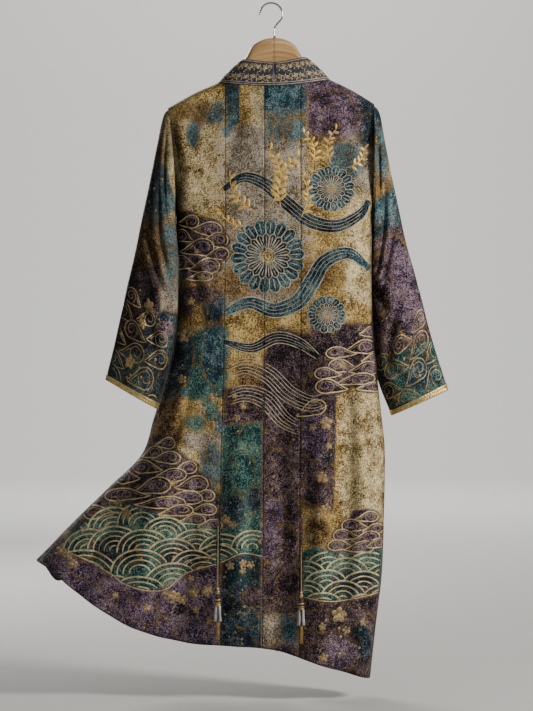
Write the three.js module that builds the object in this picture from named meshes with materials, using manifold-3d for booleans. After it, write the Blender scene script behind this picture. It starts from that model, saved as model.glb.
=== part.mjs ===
// A long kimono robe on a wooden hanger, its skirt blown to one side. Millimetres, +Z up.
// The origin is the inner top of the hook, the garment's back faces -Y, its front faces +Y,
// and "left" is the -X side.
import * as THREE from "three";
import { mergeVertices } from "three/addons/utils/BufferGeometryUtils.js";
import Module from "manifold-3d";

// ---- Driving dimensions ----
const clothWall = 1.8; // outer cloth and lining
const seamGap = 0.3; // between two pieces that are sewn together
const shoulderRound = 22; // radius of the cloth where it turns over the shoulder
const shoulderBow = 3; // rise of a shoulder seam over its straight line
const chestDepth = 56; // from the middle plane to the cloth, front and back
const hemDepth = 72;
const depthRun = 430; // drop over which the body opens to its chest depth
const armholeDepth = 38; // half depth of the armhole ring
const sideRound = 70; // width over which front and back meet at a side seam
const flareRound = 230; // the same at the hem on the blown side
const neckDepth = 40; // how far the back neckline lies behind the middle plane
const neckDip = 14; // how far it hangs below its ends

const bandWall = 3; // folded collar band
const bandWidthBack = 53; // collar band at the centre back
const bandWidthSide = 62; // where it crosses the shoulder
const bandWidthFront = 58; // down both fronts
const bandCrown = 1.5; // rise of the band's middle over its edges
const bandTurn = 120; // drop over which the band turns from the shoulder to lie flat
const bandAtBack = { y: 0.19, z: 0.98 }; // direction across the band at the centre back
const bandAtShoulder = { x: 0.71, z: 0.7 }; // and where it crosses the shoulder
const braidHeight = 9; // gold braid round each cuff
const braidProud = 0.5;

const wireRadius = 2.2; // hanger hook
const loopRadius = 24; // centreline of the hook's loop
const loopAngles = { tip: 168, end: -30, step: 22 };
// The hook's line below the loop, down from the loop's centre.
const hookNeck = [
  { x: 13.5, down: 20.5 },
  { x: 7.2, down: 29 },
  { x: 6.5, down: 37 },
];
const hangerDepth = 12; // half depth of the wooden hanger
const hangerRest = 0.8; // between the wood and the cloth that lies on it

const cordRadius = 1; // tassel cords
const cordClear = 0.5; // between a cord and the cloth
const cordSwing = { gain: 1.2, from: 0.15 }; // where along it a cord leaves the cloth
const tasselClear = 0.6; // between a tassel and the cloth
const tassels = [
  { side: "left", x: -113, cordTop: -1118, cordEnd: -1247 },
  { side: "right", x: 63.5, cordTop: -1163, cordEnd: -1255 },
];

// The body's levels, from the shoulder tips down to the hem: where each ends on the left and
// on the right, and how far it sags below the straight line between the two.
const levels = [
  { leftX: -221.5, leftZ: -223.5, rightX: 221.5, rightZ: -215, sag: 0 },
  { leftX: -204.5, leftZ: -447, rightX: 218, rightZ: -447, sag: 0 },
  { leftX: -202, leftZ: -572, rightX: 216, rightZ: -572, sag: 0 },
  { leftX: -208.5, leftZ: -701, rightX: 219, rightZ: -701, sag: 0 },
  { leftX: -232, leftZ: -819, rightX: 230, rightZ: -819, sag: 0 },
  { leftX: -253.5, leftZ: -894, rightX: 238.5, rightZ: -894, sag: 0 },
  { leftX: -279, leftZ: -969, rightX: 245, rightZ: -969, sag: 2 },
  { leftX: -350, leftZ: -1040, rightX: 243, rightZ: -1092, sag: 16 },
  { leftX: -427, leftZ: -1115, rightX: 238.5, rightZ: -1221, sag: 27 },
  { leftX: -474, leftZ: -1164, rightX: 226, rightZ: -1328, sag: 42 },
  { leftX: -505, leftZ: -1195, rightX: 213, rightZ: -1447, sag: 61 },
];
const hemLevel = levels.length - 1;
const sagPeak = { at: 0.34, before: 0.34, after: 0.43, start: 0.12 }; // where a level sags most
const sagEven = 0.08; // share of the sag that is spread evenly
const neckLeft = { x: -114, z: -170 }; // where shoulder seam and neckline meet
const neckRight = { x: 127, z: -163.5 };
const neckCentre = (neckLeft.x + neckRight.x) / 2;
const neckHalf = (neckRight.x - neckLeft.x) / 2;

// The seams between the four back panels, at the shoulder and at the hem.
const backSeams = [
  { top: -99, hem: -116 },
  { top: -15, hem: -19.5 },
  { top: 62.5, hem: 58 },
];
// The seam between each front and its band, and the band's free edge: distances from the
// centre at the chest and at the hem.
const frontSeam = { chest: 64, hem: 84, run: 330, flareFrom: 3, blown: 22 };
const frontHemDrop = { depth: 26, at: 0.055, width: 0.028 }; // the blown front's low corner

// Soft folds of the skirt: the line of each, its width, and how far it stands out (+) or in (-).
const backFolds = [
  { x0: -174, z0: -701, x1: -389, z1: -1195, width: 36, out: -20 },
  { x0: -150, z0: -760, x1: -303, z1: -1324, width: 34, out: 16 },
  { x0: -125, z0: -851, x1: -206, z1: -1367, width: 28, out: -15 },
  { x0: -67, z0: -744, x1: -70, z1: -1380, width: 26, out: 10 },
  { x0: 26, z0: -701, x1: 18, z1: -1389, width: 26, out: -11 },
  { x0: 112, z0: -560, x1: 101, z1: -1421, width: 30, out: 12 },
  { x0: 168, z0: -640, x1: 160, z1: -1436, width: 26, out: -14 },
];
const frontFolds = [
  { x0: -180, z0: -701, x1: -360, z1: -1195, width: 38, out: -18 },
  { x0: -150, z0: -701, x1: -250, z1: -1300, width: 34, out: 15 },
  { x0: -110, z0: -620, x1: -150, z1: -1370, width: 28, out: -14 },
  { x0: 118, z0: -560, x1: 126, z1: -1421, width: 28, out: -13 },
  { x0: 168, z0: -620, x1: 178, z1: -1436, width: 28, out: 12 },
];
const foldFade = 320; // drop over which a fold grows from its upper end
const blownFrom = 5; // the level from which the skirt is blown
const billow = { out: 38, length: 400, reach: 430 }; // S-wave of the blown side

// The sleeves: outer and inner edge of each section, its middle's depth and its half depth.
const leftSleeve = [
  { outerX: -221.5, outerZ: -223.5, innerX: -204.5, innerZ: -447, middleY: 0, half: 38 },
  { outerX: -233, outerZ: -247, innerX: -208, innerZ: -470, middleY: -4, half: 37 },
  { outerX: -246, outerZ: -314, innerX: -206, innerZ: -509, middleY: -14, half: 36 },
  { outerX: -263, outerZ: -411, innerX: -201.5, innerZ: -556, middleY: -29, half: 35 },
  { outerX: -284, outerZ: -518, innerX: -201, innerZ: -616, middleY: -40, half: 33 },
  { outerX: -305.5, outerZ: -619, innerX: -206.5, innerZ: -684, middleY: -44, half: 31 },
  { outerX: -327, outerZ: -718, innerX: -223.5, innerZ: -770, middleY: -46, half: 30 },
  { outerX: -350.5, outerZ: -809, innerX: -242.5, innerZ: -872, middleY: -46, half: 29 },
];
const rightSleeve = [
  { outerX: 221.5, outerZ: -215, innerX: 218, innerZ: -447, middleY: 0, half: 38 },
  { outerX: 234.5, outerZ: -239, innerX: 222, innerZ: -470, middleY: 5, half: 37 },
  { outerX: 247, outerZ: -303, innerX: 221.5, innerZ: -509, middleY: 17, half: 36 },
  { outerX: 266.5, outerZ: -400, innerX: 218.5, innerZ: -560, middleY: 32, half: 35 },
  { outerX: 290, outerZ: -507.5, innerX: 216, innerZ: -620, middleY: 41, half: 33 },
  { outerX: 316, outerZ: -604, innerX: 218, innerZ: -701, middleY: 44, half: 31 },
  { outerX: 344, outerZ: -711.5, innerX: 231, innerZ: -800, middleY: 45, half: 30 },
  { outerX: 382, outerZ: -832, innerX: 259.5, innerZ: -887, middleY: 45, half: 29 },
];
const sleeveRings = 14;
const sleeveWave = { left: 3.6, right: 2.8, turns: 3, twist: 2.2, grow: 2.5 };

// The wooden hanger: distance from its centre, its top and its half height there. Past
// the neck its top follows the shoulder seam.
const hangerCentre = { x: 6.5, z: -73 };
const hangerSections = [
  { out: 0, top: -73, half: 38 },
  { out: 14, top: -74, half: 38 },
  { out: 26, top: -77.5, half: 37 },
  { out: 38, top: -83.5, half: 35 },
  { out: 48, top: -92.5, half: 32 },
  { out: 60, top: -114, half: 25 },
  { out: 73, top: -140, half: 17 },
  { out: 94, top: -159, half: 14 },
];
const hangerNeck = 122; // distance at which the wood meets the shoulder seam
const hangerReach = { left: 206, right: 201 }; // ends of the wood
const hangerArmHalf = 12.5;
const hangerEase = { gap: 2.2, run: 30 }; // more room under the cloth, next to the neck
const hangerMiddles = [0, 0.3, 0.6, 0.88]; // places along an arm's straight part
// The rounded end of an arm: distance from its tip, and its size there.
const hangerEnds = [
  { back: 6, size: 0.93 },
  { back: 2, size: 0.7 },
  { back: 0, size: 0.3 },
];
const hangerStraight = 10; // distance from the tip at which the straight part ends

// ---- Small helpers ----
const clamp01 = (t) => Math.min(1, Math.max(0, t));
const mix = (a, b, t) => a + (b - a) * t;
const smooth = (t) => clamp01(t) ** 2 * (3 - 2 * clamp01(t));
const arc = (t) => Math.sqrt(1 - (1 - clamp01(t)) ** 2); // a quarter circle from 0 to 1
const vec = (x, y, z) => new THREE.Vector3(x, y, z);
const radians = THREE.MathUtils.degToRad;

// A table's value at row t, on a smooth curve through its rows from row "first" on.
function along(rows, column, t, first = 0) {
  const last = rows.length - 1;
  const i = Math.min(Math.max(Math.floor(t), first), last - 1);
  const at = (k) => rows[Math.min(Math.max(k, first), last)][column];
  const slope = (k) => (at(k + 1) - at(k - 1)) / (Math.min(k + 1, last) - Math.max(k - 1, first));
  const f = t - i;
  const [p, q] = [at(i), at(i + 1)];
  const [m, n] = [slope(i), slope(i + 1)];
  return (
    (2 * f ** 3 - 3 * f ** 2 + 1) * p +
    (f ** 3 - 2 * f ** 2 + f) * m +
    (3 * f ** 2 - 2 * f ** 3) * q +
    (f ** 3 - f ** 2) * n
  );
}

// ---- The body's surface ----
// Angles round the armhole ring from the shoulder tip to the armpit, and the levels of the
// same points: the body's rows and the sleeve's ring share them.
const armholeAngles = [0, 11.25, 22.5, 45, 67.5, 90, 112.5, 135, 157.5, 180].map(radians);
const armholeRows = armholeAngles.map((a) => (1 - Math.cos(a)) / 2);
const skirtRows = Array.from({ length: (hemLevel - 1) * 2 }, (_, i) => 1.5 + i / 2);
const bodyRows = [...armholeRows, ...skirtRows];

// Both ends of the level r, where 0 is the shoulder tips and 1 the armpits.
function levelEnds(r) {
  const [tip, pit] = levels;
  if (r < 1)
    return {
      leftX: mix(tip.leftX, pit.leftX, 1 - (1 - r) ** 2),
      leftZ: mix(tip.leftZ, pit.leftZ, r),
      rightX: mix(tip.rightX, pit.rightX, 1 - (1 - r) ** 2),
      rightZ: mix(tip.rightZ, pit.rightZ, r),
      sag: 0,
    };
  const ends = {};
  for (const column of Object.keys(pit)) ends[column] = along(levels, column, r, 1);
  return ends;
}

// The top edge over x: the shoulder seams and, on the back, the neckline between them.
function topHeight(x, isFront) {
  const [tip] = levels;
  const bow = (t) => shoulderBow * Math.sin(Math.PI * clamp01(t));
  if (x <= neckLeft.x) {
    const t = (x - tip.leftX) / (neckLeft.x - tip.leftX);
    return mix(tip.leftZ, neckLeft.z, t) + bow(t);
  }
  if (x >= neckRight.x) {
    const t = (x - neckRight.x) / (tip.rightX - neckRight.x);
    return mix(neckRight.z, tip.rightZ, t) + bow(t);
  }
  if (isFront) return x < neckCentre ? neckLeft.z : neckRight.z;
  const q = (x - neckCentre) / neckHalf;
  return mix(neckLeft.z, neckRight.z, (q + 1) / 2) - neckDip * (1 - q * q);
}

const necklineY = (x) =>
  neckDepth * Math.sqrt(Math.max(0, 1 - ((x - neckCentre) / neckHalf) ** 2));

// How far a level hangs below its straight line, at the fraction q from left to right.
function sagShape(q) {
  const before = Math.cos((Math.PI / 2) * clamp01((sagPeak.at - q) / sagPeak.before)) ** 1.4;
  const after = Math.cos((Math.PI / 2) * clamp01((q - sagPeak.at) / sagPeak.after)) ** 2;
  const bow = (q < sagPeak.at ? before : after) + sagEven * Math.sin(Math.PI * q);
  return bow * smooth(q / sagPeak.start);
}

function heightAt(x, r, isFront) {
  const ends = levelEnds(Math.max(r, 1));
  const q = clamp01((x - ends.leftX) / (ends.rightX - ends.leftX));
  const straight = mix(ends.leftZ, ends.rightZ, q) - ends.sag * sagShape(q);
  if (r < 1) return mix(topHeight(x, isFront), straight, r);
  const low = Math.exp(-(((q - frontHemDrop.at) / frontHemDrop.width) ** 2));
  const drop = isFront ? frontHemDrop.depth * low * smooth((r - hemLevel + 2) / 2) : 0;
  return straight - drop;
}

function foldsAt(folds, x, z) {
  return folds.reduce((sum, fold) => {
    const middle = mix(fold.x0, fold.x1, (z - fold.z0) / (fold.z1 - fold.z0));
    const across = Math.exp(-(((x - middle) / fold.width) ** 2));
    return sum + fold.out * across * smooth((fold.z0 - z) / foldFade);
  }, 0);
}

const blownShare = (r) => smooth((r - blownFrom) / (hemLevel - blownFrom));

// A point of the body's outer surface: x from side to side, r the level.
function bodyPoint(x, r, isFront) {
  const ends = levelEnds(r);
  const z = heightAt(x, r, isFront);
  const drop = Math.max(0, topHeight(x, isFront) - z);
  const neck = isFront ? 0 : necklineY(x);
  const bend = shoulderRound - Math.sqrt(Math.max(0, shoulderRound ** 2 - neck ** 2));
  const top = Math.max(neck, shoulderRound * arc((drop + bend) / shoulderRound));
  const down = clamp01((r - 1) / (hemLevel - 1));
  const full = mix(top, mix(chestDepth, hemDepth, down), smooth(drop / depthRun));
  const stretch = Math.hypot(ends.rightX - ends.leftX, ends.rightZ - ends.leftZ)
    / (ends.rightX - ends.leftX);
  const fromLeft = (x - ends.leftX) * stretch;
  const fromRight = (ends.rightX - x) * stretch;
  const blown = blownShare(r);
  const sides = arc(fromLeft / mix(sideRound, flareRound, blown)) * arc(fromRight / sideRound);
  const atArm = r < 1 ? armholeDepth * 2 * Math.sqrt(Math.max(0, r * (1 - r))) : 0;
  const folds = foldsAt(isFront ? frontFolds : backFolds, x, z) * sides;
  const out = atArm + (full - atArm) * sides + folds;
  const wave = billow.out * Math.sin((2 * Math.PI * fromLeft) / billow.length)
    * blown * (1 - smooth(fromLeft / billow.reach));
  return vec(x, (isFront ? out : -out) - wave, z);
}

// The outward normal at a point of the body, from its neighbours.
function bodyNormal(x, r, isFront) {
  const ends = levelEnds(r);
  const [dx, dr] = [0.5, 0.004];
  const [x0, x1] = [Math.max(x - dx, ends.leftX), Math.min(x + dx, ends.rightX)];
  const [r0, r1] = [Math.max(r - dr, 0), Math.min(r + dr, hemLevel)];
  const across = bodyPoint(x1, r, isFront).sub(bodyPoint(x0, r, isFront));
  const down = bodyPoint(x, r1, isFront).sub(bodyPoint(x, r0, isFront));
  const normal = across.cross(down).normalize();
  return normal.multiplyScalar(isFront === normal.y > 0 ? 1 : -1);
}

// At the armhole, the side seams and the shoulder seams, both pieces share one normal.
function armholeNormal(r, side) {
  const height = (levels[1].leftZ - levels[0].leftZ) / -2;
  const angle = Math.acos(1 - 2 * r);
  return vec(0, (side * Math.sin(angle)) / armholeDepth, Math.cos(angle) / height).normalize();
}

function sideNormal(r, isLeft) {
  const [x, z] = isLeft ? ["leftX", "leftZ"] : ["rightX", "rightZ"];
  const [a, b] = [levelEnds(Math.max(r - 0.05, 1)), levelEnds(Math.min(r + 0.05, hemLevel))];
  const sign = isLeft ? 1 : -1;
  return vec(sign * (b[z] - a[z]), 0, -sign * (b[x] - a[x])).normalize();
}

function shoulderNormal(x) {
  const rise = topHeight(x + 0.5, true) - topHeight(x - 0.5, true);
  return vec(-rise, 0, 1).normalize();
}

// ---- Walls of cloth ----
// Closes a grid of outer and inner points into one solid. Rows run down, points run across;
// a ring's last point meets its first.
function wallGeometry(grid, isRing = false) {
  const rows = grid.length;
  const columns = grid[0].length;
  const points = [];
  for (const row of grid) for (const point of row) points.push(point.outer, point.inner);
  const index = (i, j) => 2 * (i * columns + (j % columns));
  const inner = (i, j) => index(i, j) + 1;
  const faces = [];
  const quad = (a, b, c, d) => faces.push(a, b, c, a, c, d);
  const spans = isRing ? columns : columns - 1;
  for (let i = 0; i < rows - 1; i++)
    for (let j = 0; j < spans; j++) {
      quad(index(i, j), index(i + 1, j), index(i + 1, j + 1), index(i, j + 1));
      quad(inner(i, j), inner(i, j + 1), inner(i + 1, j + 1), inner(i + 1, j));
    }
  const bottom = rows - 1;
  for (let j = 0; j < spans; j++) {
    quad(index(0, j), index(0, j + 1), inner(0, j + 1), inner(0, j));
    quad(index(bottom, j + 1), index(bottom, j), inner(bottom, j), inner(bottom, j + 1));
  }
  const side = columns - 1;
  if (!isRing)
    for (let i = 0; i < rows - 1; i++) {
      quad(index(i + 1, 0), index(i, 0), inner(i, 0), inner(i + 1, 0));
      quad(index(i, side), index(i + 1, side), inner(i + 1, side), inner(i, side));
    }
  return facingOut(points, faces);
}

// A geometry from points and triangles, turned so that its faces point outwards.
function facingOut(points, faces) {
  let volume = 0;
  for (let f = 0; f < faces.length; f += 3) {
    const [a, b, c] = [points[faces[f]], points[faces[f + 1]], points[faces[f + 2]]];
    volume += a.dot(b.clone().cross(c));
  }
  if (volume < 0)
    for (let f = 0; f < faces.length; f += 3)
      [faces[f + 1], faces[f + 2]] = [faces[f + 2], faces[f + 1]];
  const geometry = new THREE.BufferGeometry().setFromPoints(points);
  geometry.setIndex(faces);
  geometry.computeVertexNormals();
  return geometry;
}

const layer = (outer, normal, wall) => ({
  outer,
  inner: outer.clone().addScaledVector(normal, -wall),
});

// One point of a body panel, kept half a seam's gap off each seam that it lies on.
function panelPoint(x, r, isFront, edge) {
  const half = seamGap / 2;
  const side = isFront ? 1 : -1;
  const ends = levelEnds(r);
  const isLeft = edge === "left";
  const isSide = isLeft || edge === "right";
  const atTop = r === 0;
  const onShoulder = atTop && (isFront || x <= neckLeft.x || x >= neckRight.x);
  if (isSide) {
    const atX = isLeft ? ends.leftX : ends.rightX;
    const outer = bodyPoint(atX, r, isFront);
    if (r < 1) outer.x += isLeft ? half : -half;
    if (r >= 1 || atTop) outer.y += side * half;
    const normal = r < 1 ? armholeNormal(r, side) : sideNormal(r, isLeft);
    return layer(outer, normal, clothWall);
  }
  const outer = bodyPoint(x, r, isFront);
  if (onShoulder) {
    outer.y = side * half;
    return layer(outer, shoulderNormal(x), clothWall);
  }
  if (atTop) outer.z -= half;
  return layer(outer, bodyNormal(x, r, isFront), clothWall);
}

const seamX = (seam, r) => mix(seam.top, seam.hem, clamp01((r - 2) / (hemLevel - 2)));

// The columns of each back panel, as fractions of its width. They close up towards the side
// seams, and one of them meets the end of each shoulder seam.
const steps = (count) => Array.from({ length: count + 1 }, (_, i) => i / count);
const crowding = 1.6;
const centreTop = (neckCentre - backSeams[1].top) / (backSeams[2].top - backSeams[1].top);
const neckInLeft = (neckLeft.x - levels[0].leftX) / (backSeams[0].top - levels[0].leftX);
const neckInRight = (neckRight.x - backSeams[2].top) / (levels[0].rightX - backSeams[2].top);
const panelColumns = [
  [...steps(7).map((t) => neckInLeft * t ** crowding), (1 + neckInLeft) / 2, 1],
  steps(4),
  [0, centreTop, ...steps(3).slice(1).map((t) => mix(centreTop, 1, t))],
  [
    ...steps(4).map((t) => neckInRight * Math.sin((Math.PI / 2) * t)),
    ...steps(5).slice(1).map((t) => mix(neckInRight, 1, 1 - (1 - t) ** crowding)),
  ],
];
const panelEdges = (number, r) => [
  number === 0 ? levelEnds(r).leftX : seamX(backSeams[number - 1], r),
  number === 3 ? levelEnds(r).rightX : seamX(backSeams[number], r),
];

// A back panel, from 0 at the left side to 3 at the right.
function backPanel(number) {
  const half = seamGap / 2;
  const columns = panelColumns[number];
  const grid = bodyRows.map((r) => {
    const [from, to] = panelEdges(number, r);
    return columns.map((t, j) => {
      const isFirst = j === 0;
      const isLast = j === columns.length - 1;
      const edge = number === 0 && isFirst ? "left" : number === 3 && isLast ? "right" : null;
      const shift = isFirst ? half : isLast ? -half : 0;
      return panelPoint(mix(from, to, t) + shift, r, false, edge);
    });
  });
  return wallGeometry(grid);
}

// Where a front meets its band, on the left or on the right.
function bandSeamX(r, isLeft) {
  const neck = isLeft ? neckLeft : neckRight;
  const side = isLeft ? -1 : 1;
  const drop = neck.z - heightAt(neck.x, r, true);
  const down = clamp01((r - frontSeam.flareFrom) / (hemLevel - frontSeam.flareFrom));
  const away = neckCentre + side * mix(frontSeam.chest, frontSeam.hem, down);
  const straight = mix(neck.x, away, 1 - (1 - clamp01(drop / frontSeam.run)) ** 3);
  return straight - frontSeam.blown * blownShare(r);
}

function frontPanel(isLeft, spans) {
  const half = seamGap / 2;
  const grid = bodyRows.map((r) => {
    const ends = levelEnds(r);
    const from = isLeft ? ends.leftX : ends.rightX;
    const to = bandSeamX(r, isLeft) + (isLeft ? -half : half);
    return Array.from({ length: spans + 1 }, (_, j) => {
      const edge = j === 0 ? (isLeft ? "left" : "right") : null;
      return panelPoint(mix(from, to, (j / spans) ** crowding), r, true, edge);
    });
  });
  return wallGeometry(grid);
}

// ---- Collar band ----
// Each half runs from the centre back over the shoulder and down the front. A station holds
// the seam's point, the direction across the band, and its width.
function bandStations(isLeft) {
  const half = seamGap / 2;
  const side = isLeft ? -1 : 1;
  const neck = isLeft ? neckLeft : neckRight;
  const over = vec(-side * bandAtShoulder.x, 0, bandAtShoulder.z);
  const stations = neckColumns(isLeft).map((column) => {
    const t = Math.abs(column - neckCentre) / neckHalf;
    const x = t === 0 ? column + side * half : column;
    const across = vec(0, bandAtBack.y, bandAtBack.z).lerp(over, t * t).normalize();
    const seam = vec(x, -necklineY(x), topHeight(x, false) + half);
    const normal = t > 0.999 ? shoulderNormal(x) : bodyNormal(x, 0, false);
    return { seam, across, normal, width: mix(bandWidthBack, bandWidthSide, t) };
  });
  for (const r of bodyRows.slice(1)) {
    const x = bandSeamX(r, isLeft);
    const seam = bodyPoint(x, r, true);
    const [r0, r1] = [Math.max(r - 0.01, 0), Math.min(r + 0.01, hemLevel)];
    const run = bodyPoint(bandSeamX(r1, isLeft), r1, true)
      .sub(bodyPoint(bandSeamX(r0, isLeft), r0, true)).setY(0).normalize();
    const square = vec(side * run.z, 0, -side * run.x);
    const turn = smooth((neck.z - seam.z) / bandTurn);
    const across = over.clone().lerp(square, turn).normalize();
    seam.x -= side * half;
    const normal = bodyNormal(x, r, true);
    stations.push({ seam, across, normal, width: mix(bandWidthSide, bandWidthFront, turn) });
  }
  return stations;
}

// The back panels' columns along one half of the neckline, from the centre back outwards.
function neckColumns(isLeft) {
  const all = panelColumns.flatMap((columns, number) => {
    const [from, to] = panelEdges(number, 0);
    return columns.slice(number === 0 ? 0 : 1).map((t) => mix(from, to, t));
  });
  const slack = 0.01;
  if (isLeft) return all.filter((x) => x > neckLeft.x - slack && x < neckCentre + slack).reverse();
  return all.filter((x) => x > neckCentre - slack && x < neckRight.x + slack);
}

function bandGeometry(isLeft) {
  const side = isLeft ? -1 : 1;
  const stations = bandStations(isLeft);
  const grid = stations.map((station, i) => {
    const before = stations[Math.max(i - 1, 0)].seam;
    const after = stations[Math.min(i + 1, stations.length - 1)].seam;
    const run = i === 0 ? vec(side, 0, 0) : after.clone().sub(before).normalize();
    const normal = run.clone().cross(station.across).multiplyScalar(side).normalize();
    return [0, 0.5, 1].map((t) => {
      const outer = station.seam.clone().addScaledVector(station.across, station.width * t);
      outer.addScaledVector(normal, 4 * bandCrown * t * (1 - t));
      return layer(outer, t === 0 ? station.normal : normal, bandWall);
    });
  });
  return wallGeometry(grid);
}

// ---- Sleeves ----
// A point of a sleeve: t from the armhole (0) to the cuff (1), angle round from the outer edge
// over the back.
function sleevePoint(table, t, angle, isLeft) {
  const row = t * (table.length - 1);
  const value = (column) => along(table, column, row);
  const reach = Math.cos(angle);
  const [wideX, wideZ] = [value("outerX") - value("innerX"), value("outerZ") - value("innerZ")];
  const x = value("innerX") + (wideX * (1 + reach)) / 2;
  const z = value("innerZ") + (wideZ * (1 + reach)) / 2;
  const y = value("middleY") - value("half") * Math.sin(angle);
  const wave = isLeft ? sleeveWave.left : sleeveWave.right;
  const phase = sleeveWave.turns * angle + sleeveWave.twist * t;
  const folds = wave * smooth(t * sleeveWave.grow) * Math.sin(phase);
  const away = vec(wideX, 0, wideZ).normalize().multiplyScalar(reach * Math.abs(reach));
  return vec(x, y, z).addScaledVector(away.setY(-Math.sin(angle)), folds);
}

function sleeveNormal(table, t, angle, isLeft) {
  const [dt, da] = [0.01, 0.02];
  const down = sleevePoint(table, Math.min(t + dt, 1), angle, isLeft)
    .sub(sleevePoint(table, Math.max(t - dt, 0), angle, isLeft));
  const round = sleevePoint(table, t, angle + da, isLeft)
    .sub(sleevePoint(table, t, angle - da, isLeft));
  const normal = down.cross(round).normalize();
  const middle = sleevePoint(table, t, 0, isLeft).lerp(sleevePoint(table, t, Math.PI, isLeft), 0.5);
  const outward = sleevePoint(table, t, angle, isLeft).sub(middle);
  return normal.multiplyScalar(normal.dot(outward) > 0 ? 1 : -1);
}

const ringAngles = [
  ...armholeAngles,
  ...armholeAngles.slice(1, -1).reverse().map((a) => 2 * Math.PI - a),
];

function sleeveLength(table) {
  const mid = (row) => vec((row.outerX + row.innerX) / 2, row.middleY, (row.outerZ + row.innerZ) / 2);
  return table.slice(1).reduce((sum, row, i) => sum + mid(row).distanceTo(mid(table[i])), 0);
}

function sleeveGeometry(table, isLeft) {
  const half = seamGap / 2;
  const end = 1 - (braidHeight + seamGap) / sleeveLength(table);
  const grid = Array.from({ length: sleeveRings + 1 }, (_, i) => {
    const t = (i / sleeveRings) * end;
    return ringAngles.map((angle) => {
      const outer = sleevePoint(table, t, angle, isLeft);
      if (i > 0) return layer(outer, sleeveNormal(table, t, angle, isLeft), clothWall);
      const r = (1 - Math.cos(angle)) / 2;
      const ends = levelEnds(Math.min(r, 1 - 1e-9));
      outer.x = isLeft ? ends.leftX - half : ends.rightX + half;
      const side = angle > Math.PI ? 1 : -1;
      return layer(outer, armholeNormal(Math.min(r, 1), side), clothWall);
    });
  });
  return wallGeometry(grid, true);
}

function braidGeometry(table, isLeft) {
  const start = 1 - braidHeight / sleeveLength(table);
  const grid = [start, (start + 1) / 2, 1].map((t, i) =>
    ringAngles.map((angle) => {
      const normal = sleeveNormal(table, t, angle, isLeft);
      const proud = i === 1 ? 2 * braidProud : braidProud;
      const outer = sleevePoint(table, t, angle, isLeft).addScaledVector(normal, proud);
      return layer(outer, normal, clothWall + braidProud + proud);
    }),
  );
  return wallGeometry(grid, true);
}

// ---- Hanger ----
// The wood's oval sections from end to end; its ends round off.
function hangerGeometry() {
  const clothRest = clothWall + hangerRest;
  const sections = [];
  for (const side of [-1, 1]) {
    const reach = side < 0 ? hangerReach.left : hangerReach.right;
    const row = (out, top, half, shrink = 1) => ({
      x: hangerCentre.x + side * out,
      middle: top - half,
      half: half * shrink,
      depth: hangerDepth * shrink,
    });
    const arm = (out, shrink) => {
      const x = hangerCentre.x + side * out;
      const room = hangerEase.gap * (1 - smooth((out - hangerNeck) / hangerEase.run));
      return row(out, topHeight(x, true) - clothRest - room, hangerArmHalf, shrink);
    };
    const outwards = hangerSections.slice(side < 0 ? 0 : 1).map((s) => row(s.out, s.top, s.half));
    for (const f of hangerMiddles) outwards.push(arm(mix(hangerNeck, reach - hangerStraight, f), 1));
    for (const end of hangerEnds) outwards.push(arm(reach - end.back, end.size));
    if (side < 0) sections.push(...outwards.reverse());
    else sections.push(...outwards);
  }
  const count = 12;
  const rings = sections.map((s) =>
    Array.from({ length: count }, (_, j) => {
      const a = (2 * Math.PI * j) / count;
      return vec(s.x, s.depth * Math.cos(a), s.middle + s.half * Math.sin(a));
    }),
  );
  const points = rings.flat();
  const faces = [];
  for (let i = 0; i < rings.length - 1; i++)
    for (let j = 0; j < count; j++) {
      const [a, b] = [i * count + j, i * count + ((j + 1) % count)];
      faces.push(a, a + count, b + count, a, b + count, b);
    }
  const last = (rings.length - 1) * count;
  for (let j = 1; j < count - 1; j++) faces.push(0, j, j + 1, last, last + j + 1, last + j);
  return facingOut(points, faces);
}

// The steel hook: from its tip over the loop, then in an S down to the wood.
function hookGeometry() {
  const middle = wireRadius - loopRadius;
  const points = [vec(-loopRadius - 1, 0, middle + 1)];
  for (let angle = loopAngles.tip; angle >= loopAngles.end; angle -= loopAngles.step) {
    const a = radians(angle);
    points.push(vec(loopRadius * Math.cos(a), 0, middle + loopRadius * Math.sin(a)));
  }
  for (const row of hookNeck) points.push(vec(row.x, 0, middle - row.down));
  points.push(vec(hangerCentre.x, 0, hangerCentre.z + seamGap));
  const path = new THREE.CatmullRomCurve3(points);
  const section = new THREE.Shape();
  section.absarc(0, 0, wireRadius, 0, 2 * Math.PI);
  return new THREE.ExtrudeGeometry(section, { steps: 44, curveSegments: 4, extrudePath: path });
}

// ---- Tassels ----
// The cloth's outer surface at a place on the back.
function backSurface(x, z) {
  let [low, high] = [0, hemLevel];
  for (let i = 0; i < 40; i++) {
    const r = (low + high) / 2;
    if (heightAt(x, r, false) > z) low = r;
    else high = r;
  }
  return bodyPoint(x, low, false);
}

const beadProfile = [
  [0, 0], [1.6, 0], [2.6, -1.6], [2.6, -3.4], [1.6, -5],
  [3.6, -6.4], [4.2, -9], [4.2, -11.5], [3.4, -14],
  [2.6, -15], [5.4, -17.5], [6, -20], [6, -24],
  [6.8, -25], [6.8, -28], [6, -29.5], [6.8, -31], [6.8, -34], [0, -34],
];
const beadReach = 34;
const headHeight = 5;
const headProfile = [
  [0, 0], [5.6, 0], [6.6, -1.6], [6.6, 1 - headHeight], [6, -headHeight], [0, -headHeight],
];
const strandRoot = 2; // how far a strand reaches up into the head
const skirt = { count: 14, radius: 5.2, length: 33, spread: 3.2, thick: 1.5 };
const core = { count: 7, radius: 2.2, length: 72, spread: 0.6, thick: 1.3 };

const tasselRadius = skirt.radius + skirt.spread + skirt.thick;
const coreRadius = core.radius + core.spread + core.thick;

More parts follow.
